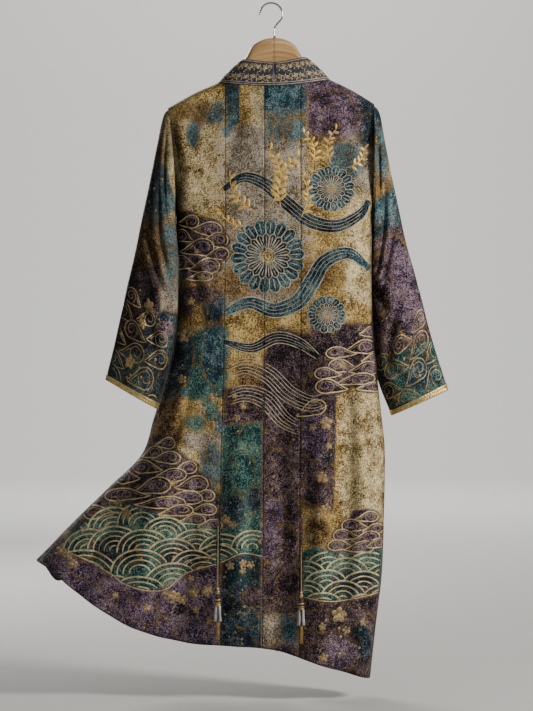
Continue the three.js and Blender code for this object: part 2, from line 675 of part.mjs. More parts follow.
// How far in -Y a tassel hangs so that it just clears the cloth behind it.
function tasselY(tassel) {
  const reach = beadReach + headHeight + core.length;
  let nearest = Infinity;
  for (let down = 0; down <= reach; down += 4) {
    const wide = down < beadReach + headHeight + skirt.length ? tasselRadius : coreRadius;
    for (const across of [-1, -0.5, 0, 0.5, 1]) {
      const point = backSurface(tassel.x + across * wide, tassel.cordEnd - down);
      nearest = Math.min(nearest, point.y - wide * Math.sqrt(1 - across ** 2));
    }
  }
  return nearest - tasselClear;
}

// The cord comes out of the panel seam, lies on the cloth and ends above the beads.
function cordPath(tassel) {
  const y = tasselY(tassel);
  const points = [];
  const steps = 12;
  for (let i = 0; i <= steps; i++) {
    const t = i / steps;
    const z = mix(tassel.cordTop, tassel.cordEnd + seamGap, t);
    const cloth = backSurface(tassel.x, z).y - cordRadius - cordClear;
    const off = smooth(t * cordSwing.gain - cordSwing.from);
    points.push(vec(tassel.x, mix(cloth, Math.min(cloth, y), off), z));
  }
  return points;
}

function cordGeometry(tassel) {
  const section = new THREE.Shape();
  section.absarc(0, 0, cordRadius, 0, 2 * Math.PI);
  const path = new THREE.CatmullRomCurve3(cordPath(tassel));
  return new THREE.ExtrudeGeometry(section, { steps: 22, curveSegments: 4, extrudePath: path });
}

// A solid turned about Z from a profile of [radius, height] that runs downwards.
function turned(profile, segments) {
  const upwards = profile.map(([radius, z]) => new THREE.Vector2(radius, z)).reverse();
  return new THREE.LatheGeometry(upwards, segments).rotateX(Math.PI / 2);
}

const wasm = await Module();
wasm.setup();

function toSolid(geometry) {
  const bare = new THREE.BufferGeometry();
  bare.setAttribute("position", geometry.getAttribute("position"));
  bare.setIndex(geometry.getIndex());
  const merged = mergeVertices(bare, 1e-4);
  return new wasm.Manifold(new wasm.Mesh({
    numProp: 3,
    vertProperties: merged.attributes.position.array,
    triVerts: new Uint32Array(merged.index.array),
  }));
}

function fromSolid(solid) {
  const mesh = solid.getMesh();
  const geometry = new THREE.BufferGeometry();
  geometry.setAttribute("position", new THREE.BufferAttribute(mesh.vertProperties, 3));
  geometry.setIndex(new THREE.BufferAttribute(mesh.triVerts, 1));
  geometry.computeVertexNormals();
  return geometry;
}

// The head and its strands: a short outer skirt and a longer core, their roots in the head.
function tasselGeometry() {
  let solid = toSolid(turned(headProfile, 12));
  for (const ring of [skirt, core])
    for (let i = 0; i < ring.count; i++) {
      const angle = (2 * Math.PI * (i + 0.5)) / ring.count;
      const long = ring.length * (1 - 0.05 * (i % 3));
      const whole = long + strandRoot;
      const strand = new THREE.CylinderGeometry(ring.thick, ring.thick * 0.8, whole, 3, 1);
      strand.rotateX(Math.PI / 2);
      const lean = new THREE.Matrix4().makeRotationY(-Math.atan2(ring.spread, long));
      strand.translate(0, 0, -whole / 2).applyMatrix4(lean);
      strand.translate(ring.radius, 0, strandRoot - headHeight).rotateZ(angle);
      solid = solid.add(toSolid(strand));
    }
  return fromSolid(solid);
}

// ---- Materials ----
const finish = (color, roughness, metalness = 0) =>
  new THREE.MeshStandardMaterial({ color, roughness, metalness, flatShading: false });
const agedGold = () => finish(0x8d7648, 0.8);
const deepTeal = () => finish(0x1f4a55, 0.8);
const plum = () => finish(0x3c3346, 0.82);
const greyBeige = () => finish(0x8b8272, 0.82);
const navyBand = () => finish(0x23242f, 0.75);
const goldBraid = () => finish(0xa98a4c, 0.55, 0.3);
const paleWood = () => finish(0xb98556, 0.5);
const brightSteel = () => finish(0xb4b4b0, 0.28, 0.9);
const silverThread = () => finish(0xb9b9b2, 0.6);

// ---- The robe ----
const kimono = new THREE.Group();
function addPiece(name, geometry, material, place = null) {
  const mesh = new THREE.Mesh(geometry, material);
  mesh.name = name;
  if (place) mesh.position.copy(place);
  kimono.add(mesh);
}

addPiece("back_side_left", backPanel(0), agedGold());
addPiece("back_centre_left", backPanel(1), greyBeige());
addPiece("back_centre_right", backPanel(2), deepTeal());
addPiece("back_side_right", backPanel(3), plum());
addPiece("front_left", frontPanel(true, 9), plum());
addPiece("front_right", frontPanel(false, 8), plum());
addPiece("collar_band_left", bandGeometry(true), navyBand());
addPiece("collar_band_right", bandGeometry(false), navyBand());
addPiece("sleeve_left", sleeveGeometry(leftSleeve, true), agedGold());
addPiece("sleeve_right", sleeveGeometry(rightSleeve, false), plum());
addPiece("cuff_braid_left", braidGeometry(leftSleeve, true), goldBraid());
addPiece("cuff_braid_right", braidGeometry(rightSleeve, false), goldBraid());
addPiece("hanger_wood", hangerGeometry(), paleWood());
addPiece("hanger_hook", hookGeometry(), brightSteel());
for (const tassel of tassels) {
  const top = vec(tassel.x, tasselY(tassel), tassel.cordEnd);
  addPiece("tassel_cord_" + tassel.side, cordGeometry(tassel), goldBraid());
  addPiece("tassel_beads_" + tassel.side, turned(beadProfile, 10), goldBraid(), top);
  const hung = top.clone().setZ(tassel.cordEnd - beadReach - seamGap);
  addPiece("tassel_" + tassel.side, tasselGeometry(), silverThread(), hung);
}

export default kimono;
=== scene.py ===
"""The looks of a long kimono robe that hangs on a wooden hanger, its skirt blown to one side.

Shapes are worked out in millimetres and made in metres. The robe's back faces -Y, "left" is
the -X side, and the origin is the inner top of the hook.
"""
import math

import bpy
import numpy as np
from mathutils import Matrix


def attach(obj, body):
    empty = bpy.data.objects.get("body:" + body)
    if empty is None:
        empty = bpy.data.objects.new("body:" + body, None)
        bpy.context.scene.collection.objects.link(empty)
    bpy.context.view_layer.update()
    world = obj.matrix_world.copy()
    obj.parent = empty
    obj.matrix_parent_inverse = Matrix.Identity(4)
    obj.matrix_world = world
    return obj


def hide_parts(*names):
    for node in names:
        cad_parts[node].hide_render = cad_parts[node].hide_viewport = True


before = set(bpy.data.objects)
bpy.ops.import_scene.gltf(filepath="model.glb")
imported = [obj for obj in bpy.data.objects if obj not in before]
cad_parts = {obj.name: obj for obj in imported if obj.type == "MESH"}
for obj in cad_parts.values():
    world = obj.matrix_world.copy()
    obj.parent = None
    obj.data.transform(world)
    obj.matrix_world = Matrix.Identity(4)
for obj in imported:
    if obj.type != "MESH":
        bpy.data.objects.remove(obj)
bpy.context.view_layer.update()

MM = 0.001

# ---- Driving dimensions, in millimetres ----
CLOTH_WALL = 1.8
SEAM_GAP = 0.3
SEAM_SHOWN = 0.04  # between the sewn edges of two panels
SHOULDER_ROUND = 22
CHEST_DEPTH, HEM_DEPTH, DEPTH_RUN = 56, 72, 430
ARMHOLE_DEPTH = 38
SIDE_ROUND, FLARE_ROUND = 70, 230
NECK_DEPTH, NECK_DIP = 40, 14
BAND_WALL = 3
BAND_WIDTH = {"back": 53, "side": 62, "front": 58}
BRAID_HEIGHT = 9
CORD_RADIUS = 1

# The body's levels from the shoulder tips to the hem: left x and z, right x and z, sag.
LEVELS = np.array([
    (-221.5, -223.5, 221.5, -215, 0),
    (-204.5, -447, 218, -447, 0),
    (-202, -572, 216, -572, 0),
    (-208.5, -701, 219, -701, 0),
    (-232, -819, 230, -819, 0),
    (-253.5, -894, 238.5, -894, 0),
    (-279, -969, 245, -969, 2),
    (-350, -1040, 243, -1092, 16),
    (-427, -1115, 238.5, -1221, 27),
    (-474, -1164, 226, -1328, 42),
    (-505, -1195, 213, -1447, 61),
])
HEM = len(LEVELS) - 1
NECK_LEFT = np.array((-114.0, -170.0))
NECK_RIGHT = np.array((127.0, -163.5))
NECK_CENTRE = (NECK_LEFT[0] + NECK_RIGHT[0]) / 2
NECK_HALF = (NECK_RIGHT[0] - NECK_LEFT[0]) / 2
BACK_SEAMS = [(-99, -116), (-15, -19.5), (62.5, 58)]  # x at the shoulder and at the hem
BILLOW = {"out": 38, "length": 400, "reach": 430}  # the wave across the blown skirt
BLOWN_FROM, BLOWN_RUN = 5, 5  # levels over which the skirt turns from hanging to blown
SAG_LOWEST, SAG_RISE, SAG_START = 0.34, 0.43, 0.12  # as shares of a level's width
FRONT_CORNER = {"at": 0.055, "wide": 0.028, "drop": 26}  # where a front's hem hangs lower
FRONT_OPENING = {"chest": 64, "hem": 84, "taper": 330, "blown": -22}

# Large folds: the x and z of both ends, width, and how far each stands out (+) or in (-).
BACK_FOLDS = [
    (-174, -701, -389, -1195, 36, -20),
    (-150, -760, -303, -1324, 34, 16),
    (-125, -851, -206, -1367, 28, -15),
    (-67, -744, -70, -1380, 26, 10),
    (26, -701, 18, -1389, 26, -11),
    (112, -560, 101, -1421, 30, 12),
    (168, -640, 160, -1436, 26, -14),
]
FRONT_FOLDS = [
    (-180, -701, -360, -1195, 38, -18),
    (-150, -701, -250, -1300, 34, 15),
    (-110, -620, -150, -1370, 28, -14),
    (118, -560, 126, -1421, 28, -13),
    (168, -620, 178, -1436, 28, 12),
]
FOLD_FADE = 320

# Creases: the x and z of both ends, bow, width and depth of a soft trough with a lip.
BACK_CREASES = [
    (-203, -452, -120, -560, 8, 9, 5.5),
    (-202, -470, -150, -640, -6, 10, 5),
    (-203, -520, -176, -730, 5, 9, 4.5),
    (-214, -262, -192, -400, -5, 10, 6),
    (-150, -215, -176, -330, 6, 12, 3),
    (217, -452, 150, -548, -8, 9, 5),
    (216, -480, 172, -655, 6, 10, 4.5),
    (216, -540, 196, -760, -4, 8, 3.5),
    (205, -250, 198, -385, 5, 10, 4),
    (160, -205, 176, -330, -6, 12, 3),
    (-60, -215, -84, -345, 4, 13, 2.5),
    (84, -212, 62, -330, -5, 13, 2.4),
    (-90, -590, 30, -640, 9, 11, 2.2),
    (40, -610, 130, -585, -7, 11, 2.2),
    (-160, -800, -236, -985, -7, 12, 5),
    (-205, -905, -318, -1085, 6, 13, 5),
    (-262, -985, -418, -1150, -7, 12, 4.5),
    (-160, -965, -262, -1210, 8, 14, 4.5),
    (-95, -900, -140, -1190, -8, 14, 3.5),
    (-40, -980, -46, -1300, 5, 13, 3.5),
    (70, -900, 66, -1240, -5, 13, 3.2),
    (138, -980, 132, -1330, 5, 12, 3.8),
    (202, -800, 206, -1080, -4, 10, 4),
    (212, -1040, 196, -1330, 4, 11, 4),
    (-330, -1110, -392, -1210, 4, 10, 4),
    (-236, -1180, -262, -1300, -4, 12, 4),
]
FRONT_CREASES = [
    (-203, -455, -138, -575, 7, 10, 5),
    (-202, -490, -160, -690, -6, 10, 4.5),
    (-150, -230, -166, -360, 5, 12, 3),
    (217, -455, 150, -565, -7, 10, 5),
    (216, -500, 178, -690, 6, 10, 4.5),
    (165, -215, 172, -350, -5, 12, 3),
    (-150, -840, -230, -1060, -7, 13, 4.5),
    (-230, -960, -370, -1130, 7, 13, 4.5),
    (-120, -920, -150, -1220, -6, 13, 3.5),
    (150, -880, 158, -1240, 5, 13, 3.8),
    (205, -820, 206, -1120, -4, 11, 4),
]

# Sleeve sections from armhole to cuff: outer x and z, inner x and z, depth of the middle, half.
LEFT_SLEEVE = np.array([
    (-221.5, -223.5, -204.5, -447, 0, 38),
    (-233, -247, -204, -470, -4, 37),
    (-246, -314, -200.5, -509, -14, 36),
    (-263, -411, -197, -556, -29, 35),
    (-284, -518, -196, -616, -40, 33),
    (-305.5, -619, -198, -684, -44, 31),
    (-327, -718, -214, -770, -46, 30),
    (-350.5, -809, -239.5, -872, -46, 29),
])
RIGHT_SLEEVE = np.array([
    (221.5, -215, 218, -447, 0, 38),
    (234.5, -239, 217, -470, 5, 37),
    (247, -303, 214.5, -509, 17, 36),
    (266.5, -400, 211.5, -560, 32, 35),
    (290, -507.5, 211, -620, 41, 33),
    (316, -604, 216, -701, 44, 31),
    (344, -711.5, 226.5, -800, 45, 30),
    (382, -832, 259.5, -887, 45, 29),
])
SLEEVE_WAVE = {"left": 3.6, "right": 2.8}
# Sleeve creases: distance from the armhole and degrees round from the outer edge at both
# ends, bow, width and depth.
SLEEVE_CREASES = [
    (40, 60, 190, 95, 8, 9, 4),
    (70, 120, 230, 140, -8, 9, 4.5),
    (180, 60, 300, 130, 10, 10, 4.5),
    (265, 40, 345, 115, -9, 9, 4),
    (300, 150, 420, 100, 8, 9, 4.5),
    (360, 60, 470, 125, -8, 10, 4),
    (455, 130, 560, 90, 7, 9, 3.5),
    (480, 40, 590, 70, -6, 10, 3),
    (60, 240, 210, 270, 8, 10, 4),
    (200, 300, 330, 235, -9, 10, 4.5),
    (330, 215, 450, 290, 8, 10, 4),
    (450, 310, 580, 260, -7, 10, 3.5),
]
CREASE_STRENGTH = 1.8
RIPPLE = {"body": 1.3, "sleeve": 1.2}
SEAM_GROOVE = {"deep": 0.3, "wide": 2.4}
PUCKER = {"high": 0.35, "wide": 11, "wave": 4.1}  # of the cloth beside a seam
VALLEY = {"deep": 13, "wide": 15}  # the fold in which body and sleeve meet


# ---- Small helpers ----
def clamp01(t):
    return np.clip(t, 0.0, 1.0)


def mix(a, b, t):
    return a + (b - a) * t


def smooth(t):
    return clamp01(t) ** 2 * (3 - 2 * clamp01(t))


def arc(t):
    return np.sqrt(1 - (1 - clamp01(t)) ** 2)


def bell(x, wide):
    """One at x = 0, fading over a width to both sides."""
    return np.exp(-((x / wide) ** 2))


def unit(v):
    return v / np.maximum(np.linalg.norm(v, axis=-1, keepdims=True), 1e-9)


def distances(path):
    """How far along a path each of its points lies."""
    steps = np.linalg.norm(np.diff(path, axis=0), axis=1)
    return np.concatenate([[0], np.cumsum(steps)])


def left_of(line):
    """Unit directions to the left of a flat line."""
    run = unit(np.gradient(line, axis=0))
    return np.stack([-run[:, 1], run[:, 0]], axis=1)


def along(rows, t, first=0):
    """A table's columns at row t, on a smooth curve through its rows from row first on."""
    last = len(rows) - 1
    t = np.asarray(t, float)
    i = np.clip(np.floor(t).astype(int), first, last - 1)

    def at(k):
        return rows[np.clip(k, first, last)]

    def slope(k):
        span = np.minimum(k + 1, last) - np.maximum(k - 1, first)
        return (at(k + 1) - at(k - 1)) / span[..., None]

    f = (t - i)[..., None]
    value = (2 * f**3 - 3 * f**2 + 1) * at(i) + (f**3 - 2 * f**2 + f) * slope(i)
    return value + (3 * f**2 - 2 * f**3) * at(i + 1) + (f**3 - f**2) * slope(i + 1)


def crease_relief(u, v, creases):
    """Depth of the creases at (u, v): a trough, and a lower lip on one side of it."""
    total = np.zeros(np.broadcast(u, v).shape)
    for u0, v0, u1, v1, bow, width, depth in creases:
        du, dv = u1 - u0, v1 - v0
        long = math.hypot(du, dv)
        t = ((u - u0) * du + (v - v0) * dv) / long**2
        across = ((u - u0) * dv - (v - v0) * du) / long - bow * np.sin(math.pi * clamp01(t))
        taper = np.sin(math.pi * clamp01(t * 0.94 + 0.03)) ** 0.8 * (t > -0.03) * (t < 1.03)
        lip = 0.6 * bell(across - 2.1 * width, 1.3 * width)
        total += depth * taper * (lip - bell(across, width))
    return total * CREASE_STRENGTH


def ripple(u, v, size):
    """Slight unevenness of hanging cloth."""
    a = np.sin(u / 31 + 1.3 * np.sin(v / 67)) * np.sin(v / 83 + 0.7)
    b = np.sin(u / 17 - v / 41 + 2.1) * np.sin(v / 29 + u / 53)
    return size * (0.7 * a + 0.3 * b)


# ---- The body's surface ----
def level_ends(r):
    """Left x and z, right x and z and sag of the level r: 0 shoulder tips, 1 armpits."""
    r = np.asarray(r, float)
    tip, pit = LEVELS[0], LEVELS[1]
    high = clamp01(r)[..., None]
    curve = 1 - (1 - high) ** 2
    near = np.concatenate([mix(tip[:1], pit[:1], curve), mix(tip[1:2], pit[1:2], high),
                           mix(tip[2:3], pit[2:3], curve), mix(tip[3:4], pit[3:4], high),
                           high * 0], axis=-1)
    far = along(LEVELS, np.maximum(r, 1), 1)
    return np.moveaxis(np.where((r < 1)[..., None], near, far), -1, 0)


def top_height(x, front):
    """The top edge over x: shoulder seams, and on the back the neckline between them."""
    tip = LEVELS[0]
    left = (x - tip[0]) / (NECK_LEFT[0] - tip[0])
    right = (x - NECK_RIGHT[0]) / (tip[2] - NECK_RIGHT[0])
    on_left = mix(tip[1], NECK_LEFT[1], left) + 3 * np.sin(math.pi * clamp01(left))
    on_right = mix(NECK_RIGHT[1], tip[3], right) + 3 * np.sin(math.pi * clamp01(right))
    q = (x - NECK_CENTRE) / NECK_HALF
    neck = mix(NECK_LEFT[1], NECK_RIGHT[1], (q + 1) / 2) - NECK_DIP * (1 - q * q)
    if front:
        neck = np.where(x < NECK_CENTRE, NECK_LEFT[1], NECK_RIGHT[1])
    return np.where(x <= NECK_LEFT[0], on_left, np.where(x >= NECK_RIGHT[0], on_right, neck))


def neckline_y(x):
    return NECK_DEPTH * np.sqrt(np.maximum(0, 1 - ((x - NECK_CENTRE) / NECK_HALF) ** 2))


def blown(r):
    """How far the skirt is blown at a level, from 0 to 1."""
    return smooth((r - BLOWN_FROM) / BLOWN_RUN)


def sag_shape(q):
    """How much of its sag a level has at the share q of its width."""
    before = np.cos(math.pi / 2 * clamp01((SAG_LOWEST - q) / SAG_LOWEST)) ** 1.4
    after = np.cos(math.pi / 2 * clamp01((q - SAG_LOWEST) / SAG_RISE)) ** 2
    bow = np.where(q < SAG_LOWEST, before, after) + 0.08 * np.sin(math.pi * q)
    return bow * smooth(q / SAG_START)


def height_at(x, r, front):
    left_x, left_z, right_x, right_z, sag = level_ends(np.maximum(r, 1))
    q = clamp01((x - left_x) / (right_x - left_x))
    straight = mix(left_z, right_z, q) - sag * sag_shape(q)
    low = FRONT_CORNER["drop"] * bell(q - FRONT_CORNER["at"], FRONT_CORNER["wide"])
    drop = low * smooth((r - HEM + 2) / 2) if front else 0
    return np.where(r < 1, mix(top_height(x, front), straight, r), straight - drop)


def seam_x(number, r):
    top, hem = BACK_SEAMS[number]
    return mix(top, hem, clamp01((r - 2) / (HEM - 2)))


def seam_distance(x, r):
    """How far a place of the back is from the nearest panel seam."""
    return np.min([np.abs(x - seam_x(k, r)) for k in range(len(BACK_SEAMS))], axis=0)


def relief(x, r, z, front):
    """Folds, creases, seam grooves and puckers, outwards."""
    total = np.zeros(np.broadcast(x, z).shape)
    for x0, z0, x1, z1, width, out in FRONT_FOLDS if front else BACK_FOLDS:
        middle = mix(x0, x1, (z - z0) / (z1 - z0))
        total += out * bell(x - middle, width) * smooth((z0 - z) / FOLD_FADE)
    total += crease_relief(x, z, FRONT_CREASES if front else BACK_CREASES)
    total += ripple(x, z, RIPPLE["body"])
    if not front:
        near = seam_distance(x, r)
        total -= SEAM_GROOVE["deep"] * bell(near, SEAM_GROOVE["wide"])
        wave = np.sin(z / PUCKER["wave"] + 2 * np.sin(z / 37))
        total += PUCKER["high"] * bell(near, PUCKER["wide"]) * wave
    return total


def valley(r):
    """Depth of the fold where body and sleeve meet, round the armhole."""
    return VALLEY["deep"] * np.sin(math.pi * clamp01((r - 0.06) / 0.94)) ** 0.7


def body_point(x, r, front):
    """A point of the body's outer surface: x from side to side, r the level."""
    x, r = np.broadcast_arrays(np.asarray(x, float), np.asarray(r, float))
    left_x, left_z, right_x, right_z, _ = level_ends(r)
    z = height_at(x, r, front)
    drop = np.maximum(0, top_height(x, front) - z)
    neck = np.zeros(x.shape) if front else neckline_y(x)
    bend = SHOULDER_ROUND - np.sqrt(np.maximum(0, SHOULDER_ROUND**2 - neck**2))
    top = np.maximum(neck, SHOULDER_ROUND * arc((drop + bend) / SHOULDER_ROUND))
    down = clamp01((r - 1) / (HEM - 1))
    full = mix(top, mix(CHEST_DEPTH, HEM_DEPTH, down), smooth(drop / DEPTH_RUN))
    stretch = np.hypot(right_x - left_x, right_z - left_z) / (right_x - left_x)
    from_left, from_right = (x - left_x) * stretch, (right_x - x) * stretch
    left_side = arc(from_left / mix(SIDE_ROUND, FLARE_ROUND, blown(r)))
    sides = left_side * arc(from_right / SIDE_ROUND)
    at_arm = np.where(r < 1, ARMHOLE_DEPTH * 2 * np.sqrt(np.maximum(0, r * (1 - r))), 0)
    edge = bell(np.minimum(from_left, from_right), VALLEY["wide"])
    hollow = np.where(r < 1, valley(r) * edge, 0) * (0.4 if front else 1)
    out = at_arm + (full - at_arm) * sides + relief(x, r, z, front) * sides - hollow
    wave = BILLOW["out"] * np.sin(2 * math.pi * from_left / BILLOW["length"])
    wave = wave * blown(r) * (1 - smooth(from_left / BILLOW["reach"]))
    return np.stack([x, np.where(front, out, -out) - wave, z], axis=-1)


def body_normal(x, r, front):
    left_x, _, right_x, _, _ = level_ends(r)
    x0, x1 = np.maximum(x - 0.5, left_x), np.minimum(x + 0.5, right_x)
    r0, r1 = np.maximum(r - 0.004, 0), np.minimum(r + 0.004, HEM)
    across = body_point(x1, r, front) - body_point(x0, r, front)
    down = body_point(x, r1, front) - body_point(x, r0, front)
    normal = unit(np.cross(across, down))
    return normal * np.where((normal[..., 1] > 0) == front, 1, -1)[..., None]


def level_at(x, z, front):
    """The level r at which the body passes the height z over x."""
    low, high = np.zeros(x.shape), np.full(x.shape, float(HEM))
    for _ in range(26):
        r = (low + high) / 2
        above = height_at(x, r, front) > z
        low, high = np.where(above, r, low), np.where(above, high, r)
    return (low + high) / 2


# ---- Sleeves ----
def sleeve_length(table):
    middle = np.stack([(table[:, 0] + table[:, 2]) / 2, table[:, 4],
                       (table[:, 1] + table[:, 3]) / 2], axis=1)
    return float(distances(middle)[-1])


def sleeve_point(table, t, angle):
    """t from the armhole (0) to the cuff (1), angle from the outer edge over the back."""
    t, angle = np.broadcast_arrays(np.asarray(t, float), np.asarray(angle, float))
    outer_x, outer_z, inner_x, inner_z, middle_y, half = np.moveaxis(
        along(table, t * (len(table) - 1)), -1, 0)
    is_left = table is LEFT_SLEEVE
    reach = np.cos(angle)
    x = mix(inner_x, outer_x, (1 + reach) / 2)
    z = mix(inner_z, outer_z, (1 + reach) / 2)
    y = middle_y - half * np.sin(angle)
    r = (1 - reach) / 2
    ends = level_ends(np.minimum(r, 1 - 1e-9))
    start = 1 - smooth(t * 12)
    x = x + (ends[0 if is_left else 2] - x) * start
    size = SLEEVE_WAVE["left" if is_left else "right"]
    wave = size * smooth(2.5 * t) * np.sin(3 * angle + 2.2 * t)
    down = t * sleeve_length(table)
    creases = crease_relief(down, np.degrees(angle), SLEEVE_CREASES)
    creases += ripple(down, 60 * angle, RIPPLE["sleeve"])
    wave += creases * smooth(5 * t) * smooth(6 * (1 - t))
    hollow = valley(r) * bell(down, VALLEY["wide"]) * np.where(np.sin(angle) > 0, 1, 0.4)
    away = unit(np.stack([outer_x - inner_x, outer_z - inner_z], axis=-1))
    across = reach * np.abs(reach)
    return np.stack([x + away[..., 0] * across * wave, y - np.sin(angle) * (wave - hollow),
                     z + away[..., 1] * across * wave], axis=-1)


def sleeve_normal(table, t, angle):
    down = sleeve_point(table, np.minimum(t + 0.01, 1), angle)
    down = down - sleeve_point(table, np.maximum(t - 0.01, 0), angle)
    around = sleeve_point(table, t, angle + 0.02) - sleeve_point(table, t, angle - 0.02)
    normal = unit(np.cross(down, around))
    middle = (sleeve_point(table, t, 0 * angle) + sleeve_point(table, t, 0 * angle + math.pi)) / 2
    outward = ((sleeve_point(table, t, angle) - middle) * normal).sum(-1)
    return normal * np.where(outward > 0, 1, -1)[..., None]


# ---- Collar band ----
BAND_OVER = (0.71, 0, 0.7)  # the way the band leans beside the neck, outwards and up
BAND_BACK = (0, 0.19, 0.98)  # and at the back of the neck
BAND_TURN = 120  # below the neck point, the run in which it turns flat to the front
BAND_CROWN = 6


def band_seam_x(r, is_left):
    """Where a front meets its band."""
    neck = NECK_LEFT if is_left else NECK_RIGHT
    side = -1 if is_left else 1
    drop = neck[1] - height_at(np.full(np.shape(r), neck[0]), r, True)
    half = mix(FRONT_OPENING["chest"], FRONT_OPENING["hem"], clamp01((r - 3) / (HEM - 3)))
    away = NECK_CENTRE + side * half
    turn = 1 - (1 - clamp01(drop / FRONT_OPENING["taper"])) ** 3
    return mix(neck[0], away, turn) + FRONT_OPENING["blown"] * blown(r)


def band_stations(is_left):
    """Seam points, directions across, outward normals and widths along half a collar band."""
    side = -1 if is_left else 1
    neck = NECK_LEFT if is_left else NECK_RIGHT
    over = np.array(BAND_OVER) * (-side, 1, 1)
    turn = np.radians(np.linspace(0, 90, 44))
    q = np.sin(turn)
    x = NECK_CENTRE + side * (NECK_HALF * q + SEAM_GAP / 2 * (q < 1e-6))
    seam = np.stack([x, -NECK_DEPTH * np.cos(turn), top_height(x, False) + SEAM_GAP / 2], axis=1)
    across = unit(mix(np.array(BAND_BACK), over, (q**2)[:, None]))
    width = mix(BAND_WIDTH["back"], BAND_WIDTH["side"], q)
    r = np.concatenate([np.linspace(0, 1, 60)[1:] ** 1.25, np.linspace(1, HEM, 270)[1:]])
    front_x = band_seam_x(r, is_left)
    front = body_point(front_x, r, True)
    r0, r1 = np.maximum(r - 0.01, 0), np.minimum(r + 0.01, HEM)
    run = body_point(band_seam_x(r1, is_left), r1, True)
    run = run - body_point(band_seam_x(r0, is_left), r0, True)
    run = unit(run * (1, 0, 1))
    square = np.stack([side * run[:, 2], 0 * r, -side * run[:, 0]], axis=1)
    down = smooth((neck[1] - front[:, 2]) / BAND_TURN)
    front_across = unit(mix(over, square, down[:, None]))
    front[:, 0] -= side * SEAM_GAP / 2
    seam, across = np.concatenate([seam, front]), np.concatenate([across, front_across])
    width = np.concatenate([width, mix(BAND_WIDTH["side"], BAND_WIDTH["front"], down)])
    run = np.gradient(seam, axis=0)
    run[0] = (side, 0, 0)
    normal = unit(np.cross(unit(run), across)) * side
    return {"seam": seam, "across": across, "normal": normal, "width": width,
            "far": distances(seam)}


def band_width(stations, far):
    return np.interp(far, stations["far"], stations["width"])


def band_vector(stations, name, far):
    """One of the band's rows of vectors, at distances along its seam."""
    columns = stations[name].T
    return np.stack([np.interp(far, stations["far"], column) for column in columns], axis=-1)


def band_point(stations, far, t):
    """A point of the band's outer face: far along the seam, t from the seam to the free edge."""
    seam, across, normal = (band_vector(stations, name, far) for name in ("seam", "across",
                                                                          "normal"))
    t = np.asarray(t)[..., None]
    crown = (BAND_CROWN + 0.7 * np.sin(far[..., None] / 23)) * t * (1 - t)
    return seam + across * band_width(stations, far)[..., None] * t + normal * crown


def band_normal(stations, far, t):
    down = band_point(stations, far + 1, t) - band_point(stations, far - 1, t)
    across = band_point(stations, far, t + 0.02) - band_point(stations, far, t - 0.02)
    normal = unit(np.cross(down, across))
    along_out = (normal * band_vector(stations, "normal", far)).sum(-1)
    return normal * np.where(along_out < 0, -1, 1)[..., None]


# ---- Meshes ----
def new_piece(name, points, faces, materials, stands_for=(), kinds=None):
    """A piece of the part from points in millimetres, smooth shaded, riding on the one body."""
    mesh = bpy.data.meshes.new(name)
    points = np.asarray(points, float) * MM
    mesh.from_pydata(points.tolist(), [], [tuple(map(int, f)) for f in faces])
    for material in materials:
        mesh.materials.append(material)
    if kinds is not None:
        mesh.polygons.foreach_set("material_index", np.asarray(kinds, np.int32))
    mesh.polygons.foreach_set("use_smooth", np.ones(len(mesh.polygons), bool))
    mesh.update()
    piece = bpy.data.objects.new(name, mesh)
    bpy.context.scene.collection.objects.link(piece)
    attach(piece, "root")
    if stands_for:
        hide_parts(*stands_for)
    return piece


def set_values(piece, name, values):
    attribute = piece.data.attributes.new(name, "FLOAT", "POINT")
    attribute.data.foreach_set("value", np.asarray(values, np.float32).ravel())


def grid_normals(grid, is_ring):
    """Unit normals of a grid of points, rows first."""
    down = np.gradient(grid, axis=0)
    if is_ring:
        across = np.roll(grid, -1, axis=1) - np.roll(grid, 1, axis=1)
    else:
        across = np.gradient(grid, axis=1)
    return unit(np.cross(down, across))


def grid_faces(rows, columns, is_ring, start=0):
    i, j = np.meshgrid(np.arange(rows - 1), np.arange(columns if is_ring else columns - 1),
                       indexing="ij")
    a, b = i * columns + j, i * columns + (j + 1) % columns
    return np.stack([a, a + columns, b + columns, b], axis=-1).reshape(-1, 4) + start


def shell(name, grid, wall, outward, materials, stands_for, is_ring=False):
    """A thin closed wall of cloth from its outer face. outward(normals) says which way is out."""
    rows, columns = grid.shape[:2]
    normals = grid_normals(grid, is_ring)
    turn = np.sign(outward(normals)).mean()
    normals = normals * (1 if turn > 0 else -1)
    inner = grid - normals * wall
    points = np.concatenate([grid.reshape(-1, 3), inner.reshape(-1, 3)])
    count = rows * columns
    outside = grid_faces(rows, columns, is_ring)
    inside = grid_faces(rows, columns, is_ring, count)[:, ::-1]
    j = np.arange(columns if is_ring else columns - 1)
    k = (j + 1) % columns
    last = (rows - 1) * columns
    rims = [np.stack([j, k, k + count, j + count], axis=1),
            np.stack([last + k, last + j, last + j + count, last + k + count], axis=1)]
    if not is_ring:
        i = np.arange(rows - 1) * columns
        n = i + columns
        e = columns - 1
        rims += [np.stack([n, i, i + count, n + count], axis=1),
                 np.stack([i + e, n + e, n + e + count, i + e + count], axis=1)]
    rim = np.concatenate(rims)
    faces = np.concatenate([outside, inside, rim])
    if turn < 0:
        faces = faces[:, ::-1]
    kinds = np.repeat([0, 1, 0], [len(outside), len(inside), len(rim)])
    return new_piece(name, points, faces, materials, stands_for, kinds)


def spline(points, count):
    """A smooth curve through the points, as count points."""
    points = np.asarray(points, float)
    return along(points, np.linspace(0, len(points) - 1, count))


def capped_faces(rows, sides):
    """Faces of a solid between rings of points, both ends closed flat."""
    faces = [tuple(f) for f in grid_faces(rows, sides, True)]
    first = tuple(range(sides))
    return faces + [first, tuple(i + (rows - 1) * sides for i in first)[::-1]]


